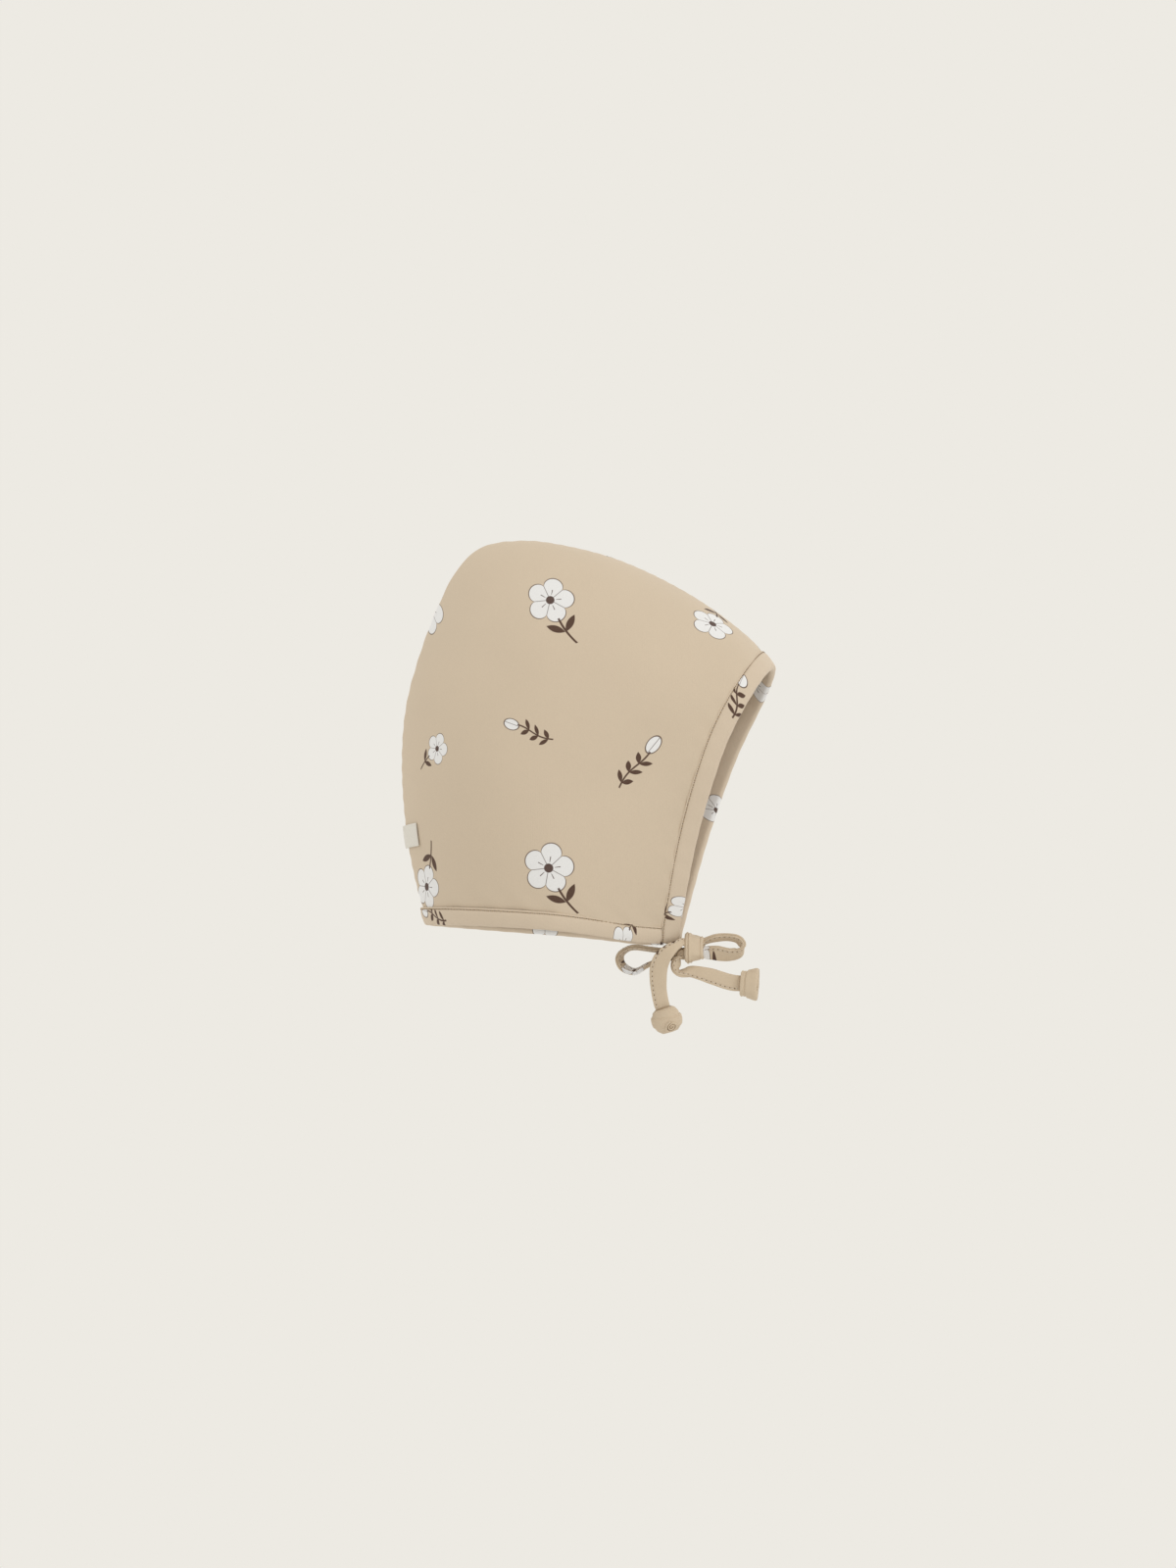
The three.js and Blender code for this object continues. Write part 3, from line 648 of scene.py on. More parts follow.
def jersey(name, colour, ink_group=None, shift=(0.0, 0.0)):
    """Printed cotton jersey: fine wales and fibre fuzz as bump, a melange of slightly lighter and
    darker yarn, faint cloudiness, and the print in two inks that are a little smoother."""
    material, net, shader = new_material(name, linear(colour), 0.9, 0.12)
    place = net.add("ShaderNodeUVMap", uv_map="cloth")
    flat = net.add("ShaderNodeMapping", {"Vector": place, "Scale": (UV_UNIT, UV_UNIT, 1.0)})
    spot = net.add("ShaderNodeTexCoord", out="Object")
    yarn = net.noise(spot, 1500.0, 3.0)
    cloud = net.noise(spot, 22.0, 2.0)
    dark, light = scaled(colour, 0.93), scaled(colour, 1.07)
    shade = net.plus(net.times(yarn, 0.7), net.times(cloud, 0.5))
    tint = net.mix(net.minus(shade, 0.1, clamp=True), dark, light)
    rough = net.plus(0.84, net.times(yarn, 0.12))
    if ink_group:
        moved = net.add("ShaderNodeMapping", {"Vector": flat, "Location": (*shift, 0.0)})
        inks = material.node_tree.nodes.new("ShaderNodeGroup")
        inks.node_tree = ink_group
        material.node_tree.links.new(moved, inks.inputs[0])
        white, brown = inks.outputs
        grain = net.plus(0.9, net.times(yarn, 0.1), clamp=True)
        tint = net.mix(net.times(white, grain), tint, linear(PRINT_WHITE))
        tint = net.mix(net.times(brown, grain), tint, linear(PRINT_BROWN))
        rough = net.minus(rough, net.times(net.math("MAXIMUM", white, brown), 0.12))
    across = net.axis(flat, 0)
    wale = net.math("SINE", net.times(across, 2 * math.pi / WALE_PITCH))
    fuzz = net.noise(spot, 2600.0, 3.0)
    height = net.plus(net.times(wale, 0.12), net.plus(fuzz, net.times(yarn, 0.6)))
    bump = net.add("ShaderNodeBump", {"Strength": 0.35, "Distance": 0.00025, "Height": height})
    links = material.node_tree.links
    links.new(tint, shader.inputs["Base Color"])
    links.new(rough, shader.inputs["Roughness"])
    links.new(bump, shader.inputs["Normal"])
    return material


def thread(name, colour):
    """Twisted sewing thread: slanted fine strands as bump and a soft sheen."""
    material, net, shader = new_material(name, linear(colour), 0.75, 0.2)
    spot = net.add("ShaderNodeTexCoord", out="Object")
    strands = net.noise(spot, 5200.0, 1.0)
    tint = net.mix(strands, scaled(colour, 0.82), linear(colour))
    bump = net.add("ShaderNodeBump", {"Strength": 0.4, "Distance": 0.00015, "Height": strands})
    material.node_tree.links.new(tint, shader.inputs["Base Color"])
    material.node_tree.links.new(bump, shader.inputs["Normal"])
    return material


def woven_tab(name, colour):
    """Dense plain weave: warp and weft as two crossed waves that take turns, on the cloth's map, as bump
    and as painted shade that darkens the cream where the weave lies low.
    """
    material, net, shader = new_material(name, linear(colour), 0.8, 0.15)
    place = net.add("ShaderNodeUVMap", uv_map="cloth")
    flat = net.add("ShaderNodeMapping", {"Vector": place, "Scale": (UV_UNIT, UV_UNIT, 1.0)})
    warp = net.math("SINE", net.times(net.axis(flat, 0), 2 * math.pi / WARP_PITCH))
    weft = net.math("SINE", net.times(net.axis(flat, 1), 2 * math.pi / WEFT_PITCH))
    weave = net.plus(net.times(net.times(warp, weft), 0.5), 0.5)
    # Painted shade: the cream is darker where the weave lies low
    tint = net.mix(weave, scaled(colour, 0.86), linear(colour))
    bump = net.add("ShaderNodeBump", {"Strength": 0.5, "Distance": 0.0002, "Height": weave})
    material.node_tree.links.new(tint, shader.inputs["Base Color"])
    material.node_tree.links.new(bump, shader.inputs["Normal"])
    return material


PANEL_RIGHT = jersey("jersey_right", CLOTH, PANEL_PRINT, shift=(48.0, 58.0))
PANEL_LEFT = jersey("jersey_left", CLOTH, PANEL_PRINT, shift=(20.0, 66.0))
BINDING = jersey("jersey_binding", BINDING_CLOTH, BAND_PRINT)
TIES = jersey("jersey_ties", TIE_CLOTH, TIE_PRINT)
KNOTS = jersey("jersey_knots", TIE_CLOTH)
TIE_THREAD = thread("thread_ties", THREAD_PALE)
BINDING_THREAD_AND_SHADE = thread("thread_binding_and_shade", THREAD_TAN_AND_SHADE)
# Material of the painted shade where the needle went through the bindings and ties
HOLE_SHADE_MATERIAL = thread("painted_hole_shade", HOLE_SHADE_COLOUR)
TAB = woven_tab("woven_tab", TAB_CREAM)


# The camera stands off the wearer's right side, a little low, with a long lens
PHOTO_HEIGHT = 736.0
PHOTO_MIDDLE = vec(0, 0, -108)
CAMERA_AZIMUTH = 275.0
CAMERA_ELEVATION = -2.8
CAMERA_DISTANCE = 5000.0
SENSOR = 36.0


def place_camera():
    """Puts the camera back from the middle of the view, so that the picture's height is the
    photograph's at that distance."""
    azimuth, elevation = math.radians(CAMERA_AZIMUTH), math.radians(CAMERA_ELEVATION)
    back = vec(
        math.sin(azimuth) * math.cos(elevation),
        -math.cos(azimuth) * math.cos(elevation),
        math.sin(elevation),
    )
    lens = bpy.data.cameras.new("camera")
    lens.sensor_fit = "AUTO"
    lens.sensor_width = SENSOR
    lens.lens = SENSOR * CAMERA_DISTANCE / PHOTO_HEIGHT
    lens.clip_end = 50.0
    camera = bpy.data.objects.new("camera", lens)
    bpy.context.scene.collection.objects.link(camera)
    camera.location = (PHOTO_MIDDLE + back * CAMERA_DISTANCE) * MM
    direction = Vector(tuple(-back))
    camera.rotation_mode = "QUATERNION"
    camera.rotation_quaternion = direction.to_track_quat("-Z", "Y")
    bpy.context.scene.camera = camera


FLOOR_BELOW = 1100.0
FLOOR_RADIUS = 7000.0
COVE_RADIUS = 1500.0
WALL_TOP = 6000.0


def place_backdrop():
    """A plain pale floor that curves up into a round wall, and the same pale light from above."""
    bend = np.radians(np.linspace(0, 90, 13))
    cove = FLOOR_RADIUS - COVE_RADIUS + COVE_RADIUS * np.sin(bend)
    radius = np.concatenate([[1.0], cove, [FLOOR_RADIUS]])
    height = np.concatenate([[0.0], COVE_RADIUS * (1 - np.cos(bend)), [WALL_TOP]]) - FLOOR_BELOW
    turn = np.radians(np.linspace(0, 360, 97))
    points = np.stack(
        [
            radius[:, None] * np.cos(turn),
            radius[:, None] * np.sin(turn),
            height[:, None] + 0 * turn,
        ],
        axis=-1,
    )
    material = bpy.data.materials.new("backdrop_paper")
    material.use_nodes = True
    shader = material.node_tree.nodes["Principled BSDF"]
    shader.inputs["Base Color"].default_value = (0.0, 0.0, 0.0, 1.0)
    shader.inputs["Specular IOR Level"].default_value = 0.0
    shader.inputs["Emission Color"].default_value = linear(BACKDROP)
    shader.inputs["Emission Strength"].default_value = 1.0
    floor = add_piece("backdrop", points.reshape(-1, 3), grid_quads(*points.shape[:2]), material)
    world = bpy.data.worlds.new("studio")
    world.use_nodes = True
    world.node_tree.nodes["Background"].inputs["Color"].default_value = linear(BACKDROP)
    world.node_tree.nodes["Background"].inputs["Strength"].default_value = 1.0
    bpy.context.scene.world = world
    bpy.context.scene.view_settings.view_transform = "Standard"


def place_light(name, place, size, watts):
    """A square soft light at a place, in metres, turned to the bonnet."""
    lamp = bpy.data.lights.new(name, "AREA")
    lamp.size = size
    lamp.energy = watts
    light = bpy.data.objects.new(name, lamp)
    bpy.context.scene.collection.objects.link(light)
    light.location = place
    direction = Vector(tuple(np.array(LIGHT_AIM) - np.array(place)))
    light.rotation_mode = "QUATERNION"
    light.rotation_quaternion = direction.to_track_quat("-Z", "Y")


# Soft lights: place and size in metres, watts
LIGHTS = [
    ("key", (-1.6, -1.5, 1.3), 1.1, 14.0),
    ("fill", (1.8, -1.2, 0.8), 1.4, 6.0),
    ("back", (0.6, 2.0, 0.9), 1.2, 6.0),
]
LIGHT_AIM = (0.0, 0.0, -0.1)

place_camera()
place_backdrop()
for light_row in LIGHTS:
    place_light(*light_row)


KNOT_CENTRE = vec(0, CHIN[0] * HAT_DEPTH - KNOT_AHEAD, CHIN[1] * HAT_HEIGHT - KNOT_BELOW)


def from_knot(ahead, up, side):
    """Points given as ahead, up and side of the knot's middle."""
    return KNOT_CENTRE + np.stack(np.broadcast_arrays(side, -np.asarray(ahead, float), up), axis=-1)


def strip_frame(route):
    """Middle, direction, width direction and width share along a strip. The route's stops are joined
    by a spline, and the width direction is turned square to it at each place."""
    route = np.asarray(route, float)
    at = np.linspace(0, len(route) - 1, ROUTE_CHORDS * len(route))
    line = spline(from_knot(route[:, 0], route[:, 1], route[:, 2]), at)
    reached = distance_along(line)
    want = np.linspace(0, reached[-1], int(reached[-1] / STRIP_STEP) + 1)
    at = np.interp(want, reached, at)
    middle = spline(from_knot(route[:, 0], route[:, 1], route[:, 2]), at)
    tangent = unit(np.gradient(middle, axis=0))
    stops = np.arange(len(route))
    column = [np.interp(at, stops, route[:, k]) for k in range(3, 7)]
    wide = np.stack([column[2], -column[0], column[1]], axis=1)
    wide = unit(wide - tangent * (wide * tangent).sum(axis=1, keepdims=True))
    return middle, tangent, wide, column[3], want


def strip_rings(route):
    """Rings of a folded strip: its section carried along the route. A narrower place is thicker, as
    gathered cloth is, and slow waves make it hand-soft."""
    middle, tangent, wide, share, reached = strip_frame(route)
    half = np.array(TIE_SECTION)
    section = np.vstack([half, half[-1:0:-1] * vec(1, -1)])
    flat = np.cross(tangent, wide)
    across = section[:, 0] * (TIE_WIDTH / 2) * share[:, None]
    swell = 1 + 0.25 * (1 - share) + 0.05 * np.sin(reached / 2.9) + 0.03 * np.sin(reached / 1.3)
    out = section[:, 1] * (TIE_WALL / 2) * swell[:, None]
    ripple = 0.12 * np.sin(reached / 1.9)[:, None] * section[:, 0] ** 2
    rings = middle[:, None] + across[..., None] * wide[:, None]
    rings = rings + (out + ripple)[..., None] * flat[:, None]
    girth = np.linspace(0, 2 * TIE_WIDTH, len(section) + 1)
    uv = np.stack(np.broadcast_arrays(reached[:, None], girth), axis=-1)
    return rings, uv, middle, flat


def strand(name, route, replaced):
    """One tie with its loop and its tail, as a single flat strip that runs on through the knot."""
    rings, uv, middle, flat = strip_rings(route)
    points, faces, places = tube(rings, uv)
    piece = add_piece(name, points, faces, TIES, uv=places, weld=True)
    fasten(piece, "tie", *replaced)
    rows = []
    number = [row[0] for row in TIE_SECTION].index(TIE_STITCH_ROW)
    around = rings.shape[1]
    for column, side in ((number, 1), (around - number, -1)):
        rows.append((rings[:, column], side * flat))
    stitch_row(name, rows, TIE_THREAD, "tie")


def stitch_row(name, rows, material, slot):
    """Stitches along lines of points with normals, and between them small dark grains of painted shade
    where the needle went through the cloth.
    """
    sewn = [even_steps(line, normals, STITCH_PITCH) for line, normals in rows]
    hole_shade_places = [even_steps(line, normals, STITCH_PITCH, lead=0.0) for line, normals in rows]
    seam = stitches(name + "_stitches", sewn, material, STITCH_LENGTH, STITCH_THICK)
    # Dark grains between the stitches where the needle went through: painted shade
    hole_shade = stitches(name + "_painted_hole_shade", hole_shade_places, HOLE_SHADE_MATERIAL, HOLE_SHADE_LENGTH, HOLE_SHADE_THICK)
    for piece in (seam, hole_shade):
        fasten(piece, slot)


KNOT_RINGS = 72
KNOT_SIDES = 144
END_RINGS = 5
END_DEPTH = 1.2


def knot_body(length, half_across, half_up, roundness, profile, details):
    """A closed rounded body along Y from rows of place and girth, in share of its length and of its
    half sizes. roundness squares its section, and details adds heights for place and angle."""
    profile = np.array(profile)
    t = np.linspace(profile[0, 0], profile[-1, 0], KNOT_RINGS)
    girth = spline(profile, np.interp(t, profile[:, 0], np.arange(len(profile))))[:, 1]
    angle = np.linspace(0, 2 * np.pi, KNOT_SIDES + 1)
    cosine, sine = np.cos(angle), np.sin(angle)
    extra = details(t[:, None] * length, angle)
    wide = np.sign(cosine) * np.abs(cosine) ** roundness * half_across
    high = np.sign(sine) * np.abs(sine) ** roundness * half_up
    x = wide * girth[:, None] + extra * cosine
    z = high * girth[:, None] + extra * sine
    y = np.broadcast_to((t * length)[:, None], x.shape)
    return np.stack([x, y, z], axis=-1)


def closed_ends(rings):
    """Adds rings at both ends that shrink to the middle and sink in, on a quarter of an oval."""
    turn = np.linspace(0, np.pi / 2, END_RINGS + 1)[1:, None, None]
    sets = []
    for ring, beside in ((rings[0], 1), (rings[-1], -2)):
        middle = ring[:-1].mean(axis=0)
        step = rings[beside].mean(axis=0) - ring.mean(axis=0)
        sets.append(middle + (ring - middle) * np.cos(turn) + unit(step) * END_DEPTH * np.sin(turn))
    return np.concatenate([sets[0][::-1], rings, sets[1]])


def ring_places(rings):
    """Cloth places of a ring body: the way round and the way along, in millimetres."""
    along = np.cumsum(np.linalg.norm(np.diff(rings, axis=0, prepend=rings[:1]), axis=2).max(axis=1))
    around = np.cumsum(np.linalg.norm(np.diff(rings, axis=1, prepend=rings[:, :1]), axis=2), axis=1)
    return np.stack(np.broadcast_arrays(around.max(axis=0), along[:, None]), axis=-1)


def turned_to(points, direction, place):
    """Points made along Y, turned so that Y points along direction, and moved to place."""
    turn = Vector((0, 1, 0)).rotation_difference(Vector(tuple(direction))).to_matrix()
    return points @ np.array(turn).T + place


def ridge(value, middle, half):
    """A smooth bump of height 1 round middle: the bell curve of the distance."""
    return np.exp(-(((value - middle) / half) ** 2))


def step_up(value, place, soft):
    """A smooth step from 0 to 1 at a place."""
    return 0.5 + 0.5 * np.tanh((value - place) / soft)


WRAP_PROFILE = [(-0.5, 0.66), (-0.38, 0.74), (0.0, 0.87), (0.38, 0.99), (0.5, 0.95)]
BALL_PROFILE = [(-0.5, 0.6), (-0.42, 0.8), (-0.2, 0.97), (0.08, 1.0), (0.33, 0.86), (0.5, 0.56)]
DRUM_PROFILE = [(-0.5, 0.72), (-0.42, 0.82), (0.0, 0.92), (0.4, 1.04), (0.5, 0.98)]


def wrap_details(y, angle):
    """The band that holds the bow: two fold lines beside its back edge, one on its front edge, and
    gathers that run across it."""
    folds = 0.5 * ridge(y, 3.3, 0.42) + 0.42 * ridge(y, 2.1, 0.36) - 0.35 * ridge(y, 2.7, 0.25)
    edge = 0.3 * ridge(y, -3.5, 0.5) - 0.3 * ridge(y, -2.8, 0.35)
    gathers = 0.14 * np.sin(6 * angle + 0.8 * y) * ridge(y, 0, 3.5)
    return folds + edge + gathers


def ball_details(y, angle):
    """A strip wound round itself: two edges that run round the ball on a slant, with the layer
    beside each a little higher."""
    slant = y + 1.5 * np.sin(angle + 0.6)
    layers = 0.55 * step_up(slant, -2.0, 0.25) - 0.45 * step_up(slant, 2.8, 0.3)
    return layers - 0.2 * ridge(slant, -2.5, 0.3)


def drum_details(y, angle):
    """A strip wound round itself: a rolled edge at the near end and one curved fold line."""
    curve = y - 0.8 * np.cos(angle)
    rolled = 0.5 * ridge(curve, -3.6, 0.5)
    return rolled + 0.4 * step_up(curve, -0.8, 0.25) - 0.3 * ridge(curve, -1.3, 0.3)


def knot_piece(name, node, sizes, profile, details, direction, place):
    """A finished knot: its body with sunk ends, on the cloth of the ties, in place of its node."""
    rings = closed_ends(knot_body(*sizes, profile, details))
    uv = ring_places(rings)
    points = turned_to(rings.reshape(-1, 3), direction, place)
    piece = add_piece(name, points, grid_quads(*rings.shape[:2]), KNOTS, uv=uv.reshape(-1, 2), weld=True)
    fasten(piece, "tie", node)
    return piece


SPIRAL_STEPS = 60
SPIRAL_START = 0.45
SPIRAL_WALL = 0.72
SPIRAL_CROWN = 0.25
SPIRAL_FLATNESS = 0.85


def raw_end(name, direction, place, radius, turns, wide):
    """The rolled raw end of a strip seen end-on: a spiral whose radius grows evenly, as a wall that
    stands a little out of the knot."""
    count = int(SPIRAL_STEPS * turns)
    angle = np.linspace(0, 2 * np.pi * turns, count)[:, None]
    far = np.linspace(SPIRAL_START, radius, count)[:, None]
    low, high, half = -wide / 2, wide / 2, SPIRAL_WALL / 2
    along = vec(low, high, high + SPIRAL_CROWN, high, low)
    out = vec(-half, -half, 0, half, half)
    x = (far + out) * np.cos(angle)
    z = SPIRAL_FLATNESS * (far + out) * np.sin(angle)
    rings = np.stack(np.broadcast_arrays(x, along, z), axis=-1)
    around = np.linspace(0, TIE_WIDTH, len(along) + 1)
    uv = np.stack(np.broadcast_arrays(far * angle, around), axis=-1)
    points, faces, places = tube(rings, uv)
    piece = add_piece(name, turned_to(points, direction, place), faces, KNOTS, uv=places, weld=True)
    fasten(piece, "tie")


def end_of(route):
    """The last point of a route and the direction in which it arrives there."""
    last, before = (from_knot(*np.array(route[k][:3], float)) for k in (-1, -2))
    return last, unit(last - before)


BALL_LENGTH = 11.5
BALL_DIAMETER = 13.4
BALL_FLATNESS = 0.9
BALL_ROUNDNESS = 0.9
BALL_END = {"radius": 3.1, "turns": 2.3, "wide": 2.4}
BALL_END_REACH = 6.2
DRUM_LENGTH = 8.2
DRUM_DIAMETER = 14.0
DRUM_FLATNESS = 0.8
DRUM_ROUNDNESS = 0.8
DRUM_END = {"radius": 3.4, "turns": 2.4, "wide": 1.6}
DRUM_END_SINK = 0.7
WRAP_ROUNDNESS = 0.62

tail_end, tail_way = end_of(BACK_TAIL)
ball_place = tail_end + tail_way * (BALL_LENGTH / 2 + TIE_GAP)
ball = knot_piece(
    "end_knot_round",
    "end_knot_back",
    (BALL_LENGTH, BALL_DIAMETER / 2 * BALL_FLATNESS, BALL_DIAMETER / 2, BALL_ROUNDNESS),
    BALL_PROFILE,
    ball_details,
    tail_way,
    ball_place,
)
raw_way = unit(vec(-0.78, -0.39, -0.48))
raw_end("raw_end_round", raw_way, ball_place + raw_way * BALL_END_REACH, **BALL_END)

drum_end, drum_way = end_of(FRONT_TAIL)
drum_place = drum_end + drum_way * (DRUM_LENGTH / 2 + TIE_GAP)
drum = knot_piece(
    "end_knot_drum",
    "end_knot_front",
    (DRUM_LENGTH, DRUM_DIAMETER / 2 * DRUM_FLATNESS, DRUM_DIAMETER / 2, DRUM_ROUNDNESS),
    DRUM_PROFILE,
    drum_details,
    drum_way,
    drum_place,
)
drum_face = drum_place + drum_way * (DRUM_LENGTH / 2 - DRUM_END_SINK)
raw_end("raw_end_drum", drum_way, drum_face, **DRUM_END)

knot_piece(
    "bow_wrap",
    "bow_knot",
    (KNOT_LENGTH, KNOT_THICKNESS / 2, KNOT_HEIGHT / 2, WRAP_ROUNDNESS),
    WRAP_PROFILE,
    wrap_details,
    vec(0, 1, 0),
    KNOT_CENTRE + vec(KNOT_SIDE, 0, 0),
)

RIGHT_ROUTE = [
    *RIGHT_TIE,
    (-KNOT_FACE, -3.2, -2.7, 0, 1, 0, 0.5),
    (0, 0, -1.5, 0, 0.5, 0.8, 0.5),
    *FRONT_LOOP,
    (0, -1.0, -4.5, 0, 0.6, 0.8, 0.55),
    *BACK_TAIL,
]
LEFT_ROUTE = [
    *LEFT_TIE,
    (-KNOT_FACE, -3.2, 6.2, 0, 1, 0, 0.5),
    (0, -1.5, 4.6, 0, 0.7, 0.7, 0.5),
    (-1.5, 0.4, 3.0, 0, 0.3, 1, 0.5),
    *BACK_LOOP,
    (-0.5, -3.8, -1.5, 0, 0.6, 0.8, 0.5),
    *FRONT_TAIL,
]
strand("tie_strand_right", RIGHT_ROUTE, ["tie_right", "bow_loop_front", "tail_back"])
strand("tie_strand_left", LEFT_ROUTE, ["tie_left", "bow_loop_back", "tail_front"])


# Cells of a panel: from the open edge to the fullest place, and from there to the seam
CELLS_ALONG = (58, 92)
CELLS_UP = (52, 104)
PANEL_REACH = 150.0
SEAM_CLEAR = 0.03

# Shallow waves of the cloth: height, length back and length up in millimetres, start in radians
WAVES = [(0.33, 17, 41, 0.4), (0.24, -37, 23, 1.9), (0.132, 8.5, -12, 0.7)]
SIDE_WAVE = 0.25
SEAM_VALLEY = 0.8
SEAM_PUCKER = 0.16
BAND_PULL = 0.18


def panel_lines(cells, full):
    """Grid lines from an open edge to a seam: even up to the fullest place, then by the sine of an
    even turn, which makes the cells alike over the rounded part."""
    even = np.linspace(0, full, cells[0] + 1)
    turn = np.linspace(0, np.pi / 2, cells[1] + 1)[1:]
    return np.concatenate([even, full + (1 - full) * np.sin(turn)])


def cloth_places(points, middle):
    """Where each point lies on the flat cloth: its side view, in which every step along a grid line
    is made as long as it is on the surface, counted from the middle lines."""
    seen = points[..., 1:] * vec(-1, 1)
    place = seen.copy()
    for axis in range(2):
        step = np.diff(seen, axis=axis)
        real = np.linalg.norm(np.diff(points, axis=axis), axis=2)
        short = np.maximum(np.linalg.norm(step, axis=2), 1e-6)
        extra = step * np.clip(real / short - 1, 0, 14)[..., None]
        zero = np.zeros_like(np.take(extra, [0], axis=axis))
        total = np.concatenate([zero, np.cumsum(extra, axis=axis)], axis=axis)
        place += total - np.take(total, [middle[axis]], axis=axis)
    return place


def soft_relief(points, edge):
    """Height of the cloth over its plain form: long shallow waves, a valley along the seam with small
    puckers beside it, and a faint fullness next to the stitched bands."""
    x, y, z = points[..., 0], points[..., 1], points[..., 2]
    waves = sum(height * np.sin(y / back + z / up + start) for height, back, up, start in WAVES)
    from_seam = x - SEAM_GAP / 2
    valley = -SEAM_VALLEY * np.exp(-((from_seam / 1.1) ** 2))
    puckers = SEAM_PUCKER * np.sin((y + z) / 1.15) * np.exp(-((from_seam / 3.2) ** 2))
    fade = np.clip(from_seam / 14, 0, 1)
    pull = BAND_PULL * np.sin((y - z) / 2.3) * np.exp(-((edge / 5.0) ** 2))
    return (waves + pull) * fade + valley + puckers


def side_panel(name, side, material):
    """One jersey panel: the surface with its relief, and the same one cloth wall further in."""
    u = panel_lines(CELLS_ALONG, FULL_ALONG)
    v = panel_lines(CELLS_UP, FULL_UP)
    u, v = np.meshgrid(u, v, indexing="ij")
    points = surface(u, v)
    normals = surface_normal(u, v)
    edge = np.minimum(u, v) * PANEL_REACH
    relief = soft_relief(points, np.abs(edge - BINDING_WIDTH))
    fade = np.clip(points[..., 0] / 20, 0, 1)
    relief = relief + SIDE_WAVE * side * np.sin(points[..., 1] / 29) * fade
    close = np.exp(-(((points[..., 0] - SEAM_GAP / 2) / 1.0) ** 2)) * (SEAM_GAP / 2 - SEAM_CLEAR)
    sheets = []
    for depth in (0.0, CLOTH_WALL):
        moved = points + normals * (relief - depth)[..., None]
        moved[..., 0] = np.maximum(moved[..., 0], SEAM_GAP / 2) - close
        sheets.append(mirrored(moved, side))
    uv = cloth_places(points, (CELLS_ALONG[0], CELLS_UP[0]))
    points, faces, places = thick_sheet(*sheets, uv)
    piece = add_piece("panel_" + name, points, faces, material, uv=places)
    fasten(piece, "jersey", "side_panel_" + name)


side_panel("right", -1, PANEL_RIGHT)
side_panel("left", 1, PANEL_LEFT)


# Half of a binding's closed section: share of its width in from the edge, height over the cloth.
# The strip is thickest near the fold and pressed down along its stitch line.
FACE_BAND = [
    (1.0, 0.1), (0.995, 0.5), (0.975, 0.8), (0.945, 0.82), (0.91, 0.62), (0.885, 0.62),
    (0.85, 0.9), (0.8, 1.12), (0.7, 1.32), (0.55, 1.45), (0.4, 1.5), (0.25, 1.48), (0.12, 1.42),
    (0.0, 1.35),
]
NECK_BAND = [
    (0.9, 0.1), (0.895, 0.5), (0.875, 0.8), (0.84, 0.82), (0.81, 0.62), (0.785, 0.62),
    (0.75, 0.9), (0.7, 1.12), (0.6, 1.32), (0.48, 1.45), (0.36, 1.5), (0.25, 1.48), (0.12, 1.42),
    (0.0, 1.35),
]
FOLD_OUT = 1.45
FOLD_TURNS = np.radians([60, 30, 0, -30, -60])
BAND_CLEAR = 0.04
BAND_SEAM_CLEAR = 0.06
BAND_OVERHANG = (1.3, 0.7)
STITCH_COLUMN = 4
MEASURED_COLUMN = 8
EDGE_STEP = 0.55
EDGE_CHORDS = 799
STITCH_DIP = 0.12
BAND_WAVE = 0.06
INWARD = 0.04  # a short share in from an open edge, which measures how far a share reaches there


def edge_shares(face):
    """Shares along an open edge that lie an even distance apart, from its length along fine chords."""
    share = panel_lines((EDGE_CHORDS, EDGE_CHORDS), FULL_UP if face else FULL_ALONG)
    line = surface(0 * share, share) if face else surface(share, 0 * share)
    reached = distance_along(line)
    return np.interp(np.arange(0, reached[-1], EDGE_STEP), reached, share)


def band_sheets(share, face, half):
    """Outer and inner grid of a folded band at shares of its edge: out over the cloth at each height
    of the half section, round the edge on a half circle, and back on the inside."""
    zero = np.zeros_like(share)

    def at(inward):
        return (inward, share) if face else (share, inward)

    edge = surface(*at(zero))
    rate = INWARD / np.linalg.norm(surface(*at(zero + INWARD)) - edge, axis=1)
    normal_edge = surface_normal(*at(zero))
    away = unit(edge - surface(*at(rate * BINDING_WIDTH)))
    grids = []
    for lift in (1.0, 0.0):
        columns = []
        for inward, height in half:
            s = np.clip(rate * inward * BINDING_WIDTH, 0, 1)
            base, normal = surface(*at(s)), surface_normal(*at(s))
            columns.append(base + normal * (height * lift + BAND_CLEAR))
        reach = half[-1][1] * lift + BAND_CLEAR
        for turn in FOLD_TURNS:
            rise = -CLOTH_WALL / 2 + (CLOTH_WALL / 2 + reach) * np.sin(turn)
            out = (FOLD_OUT * lift + 2 * BAND_CLEAR) * np.cos(turn)
            columns.append(edge + normal_edge * rise + away * out)
        for inward, height in half[::-1]:
            s = np.clip(rate * inward * BINDING_WIDTH, 0, 1)
            base, normal = surface(*at(s)), surface_normal(*at(s))
            columns.append(base - normal * (CLOTH_WALL + height * lift + BAND_CLEAR))
        grid = np.stack(columns, axis=1)
        grid[..., 0] = np.maximum(grid[..., 0], BAND_SEAM_CLEAR)
        grids.append(grid)
    return grids


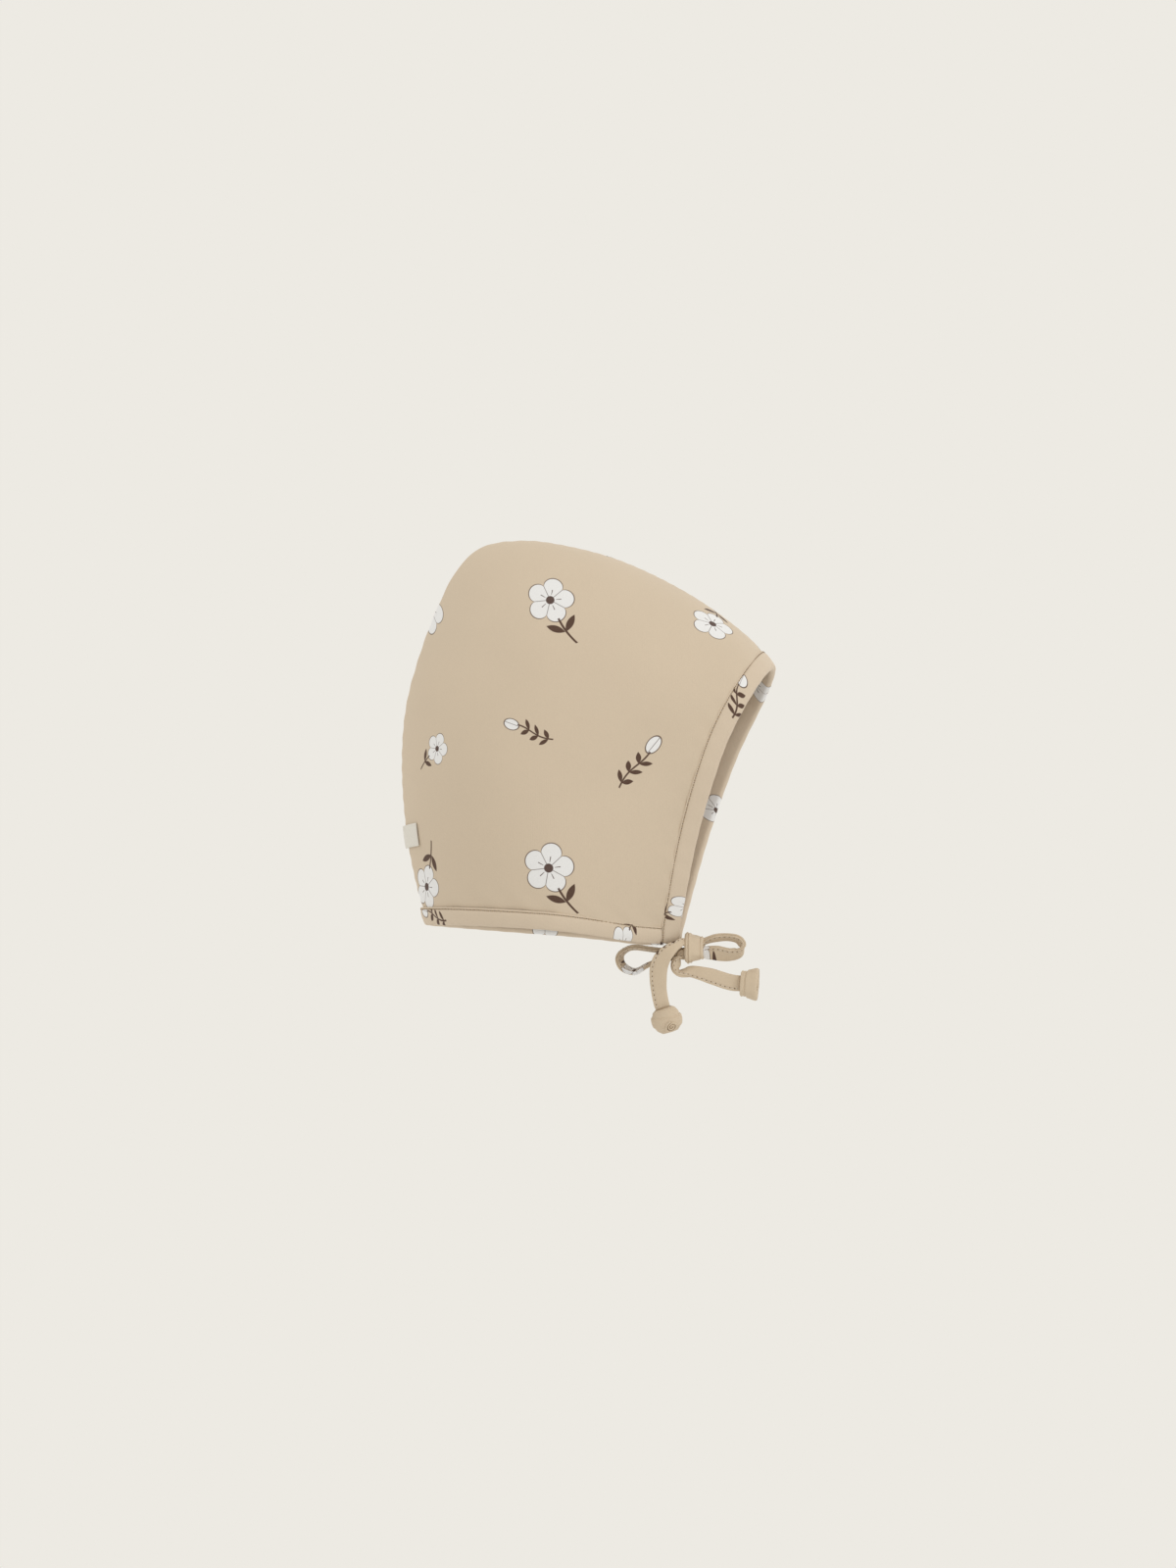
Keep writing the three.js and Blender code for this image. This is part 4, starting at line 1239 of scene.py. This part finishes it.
def binding(name, node, face, half, material):
    """A folded band along the right panel's edge, over the seam and back along the left one, with its
    row of stitches on both sides of the cloth."""
    share = edge_shares(face)
    if not face:
        clear = surface(INWARD, 0.0) - surface(0.0, 0.0)
        start = INWARD / np.linalg.norm(clear) * (BINDING_WIDTH + TIE_GAP)
        share = np.concatenate([[start], share[share > start + 0.002]])
    share = np.append(share, 1.0)
    outer, inner = band_sheets(share, face, half)
    if face:
        drop = unit(outer[0] - outer[2]).mean(axis=0)
        overhang = np.array(BAND_OVERHANG)[:, None, None] * drop
        outer = np.concatenate([outer[0] + overhang, outer])
        inner = np.concatenate([inner[0] + overhang, inner])
    along = np.arange(len(outer))[:, None] * EDGE_STEP
    column = np.arange(outer.shape[1])
    row = STITCH_COLUMN + 0.5
    from_row = np.abs(np.minimum(column, column[::-1]) - row)
    dips = STITCH_DIP * np.sin(2 * np.pi * along / STITCH_PITCH) * np.exp(-((from_row / 1.6) ** 2))
    wave = BAND_WAVE * np.sin(along / 1.7) + dips
    outer = outer + wave[..., None] * unit(outer - inner + 1e-9)
    outer = np.concatenate([mirrored(outer, -1), mirrored(outer, 1)[::-1]])
    inner = np.concatenate([mirrored(inner, -1), mirrored(inner, 1)[::-1]])
    along = distance_along(outer[:, MEASURED_COLUMN])
    across = np.linspace(0, 2 * BINDING_WIDTH + 4, outer.shape[1])
    uv = np.stack(np.broadcast_arrays(along[:, None], across), axis=-1)
    points, faces, places = thick_sheet(outer, inner, uv)
    piece = add_piece(name, points, faces, material, uv=places)
    fasten(piece, "binding", node)
    rows = []
    for column in (STITCH_COLUMN, outer.shape[1] - 1 - STITCH_COLUMN):
        beside = column + (1 if column == STITCH_COLUMN else -1)
        line = (outer[:, column] + outer[:, beside]) / 2
        rows.append((line, unit(outer[:, column] - inner[:, column])))
    # The binding's stitches use the darkened thread: their own colour plus painted shade of the stitch
    # dips
    stitch_row(name, rows, BINDING_THREAD_AND_SHADE, "binding")


binding("binding_face", "face_binding", True, FACE_BAND, BINDING)
binding("binding_neck", "neck_binding", False, NECK_BAND, BINDING)


LABEL_START = 0.05
LABEL_CELLS = (48, 40)
LABEL_CHORDS = 4001
LABEL_ROUNDED = 0.22
LABEL_HEM = 0.16
LABEL_CURL = 0.35


def label():
    """The woven tab, caught in the back seam: a small sheet that follows the panel, a little proud of
    it at its free edge, with rounded rims."""
    seam = spline(SEAM_STOPS, np.linspace(0, len(SEAM_STOPS) - 1, CHORDS * 10))
    seam_span = (1 - PEAK_SHARE) * distance_along(seam)[-1]
    reach = np.linspace(LABEL_START, LABEL_LENGTH, LABEL_CELLS[0] + 1)
    up = np.linspace(0, LABEL_HEIGHT, LABEL_CELLS[1] + 1)
    share = np.linspace(1, FULL_ALONG, LABEL_CHORDS)
    line = surface(share, np.full_like(share, LABEL_PLACE))
    reached = distance_along(line)
    reach, up = np.meshgrid(reach, up, indexing="ij")
    u = np.interp(reach, reached, share)
    v = LABEL_PLACE + up / seam_span
    points, normals = surface(u, v), surface_normal(u, v)
    rim = np.minimum(np.minimum(up, LABEL_HEIGHT - up), LABEL_LENGTH - reach)
    round_off = LABEL_ROUNDED * np.exp(-rim / 0.25)
    fold = LABEL_HEM * np.exp(-(((LABEL_LENGTH - reach) / 0.7) ** 2))
    lift = LABEL_LIFT + LABEL_CURL * (reach / LABEL_LENGTH) ** 2
    sheets = [
        mirrored(points + normals * (lift + LABEL_WALL - round_off + fold)[..., None], -1),
        mirrored(points + normals * (lift + round_off)[..., None], -1),
    ]
    uv = np.stack([reach, up], axis=-1)
    points, faces, places = thick_sheet(*sheets, uv)
    piece = add_piece("tab_woven", points, faces, TAB, uv=places)
    fasten(piece, "tab", "seam_label")


label()
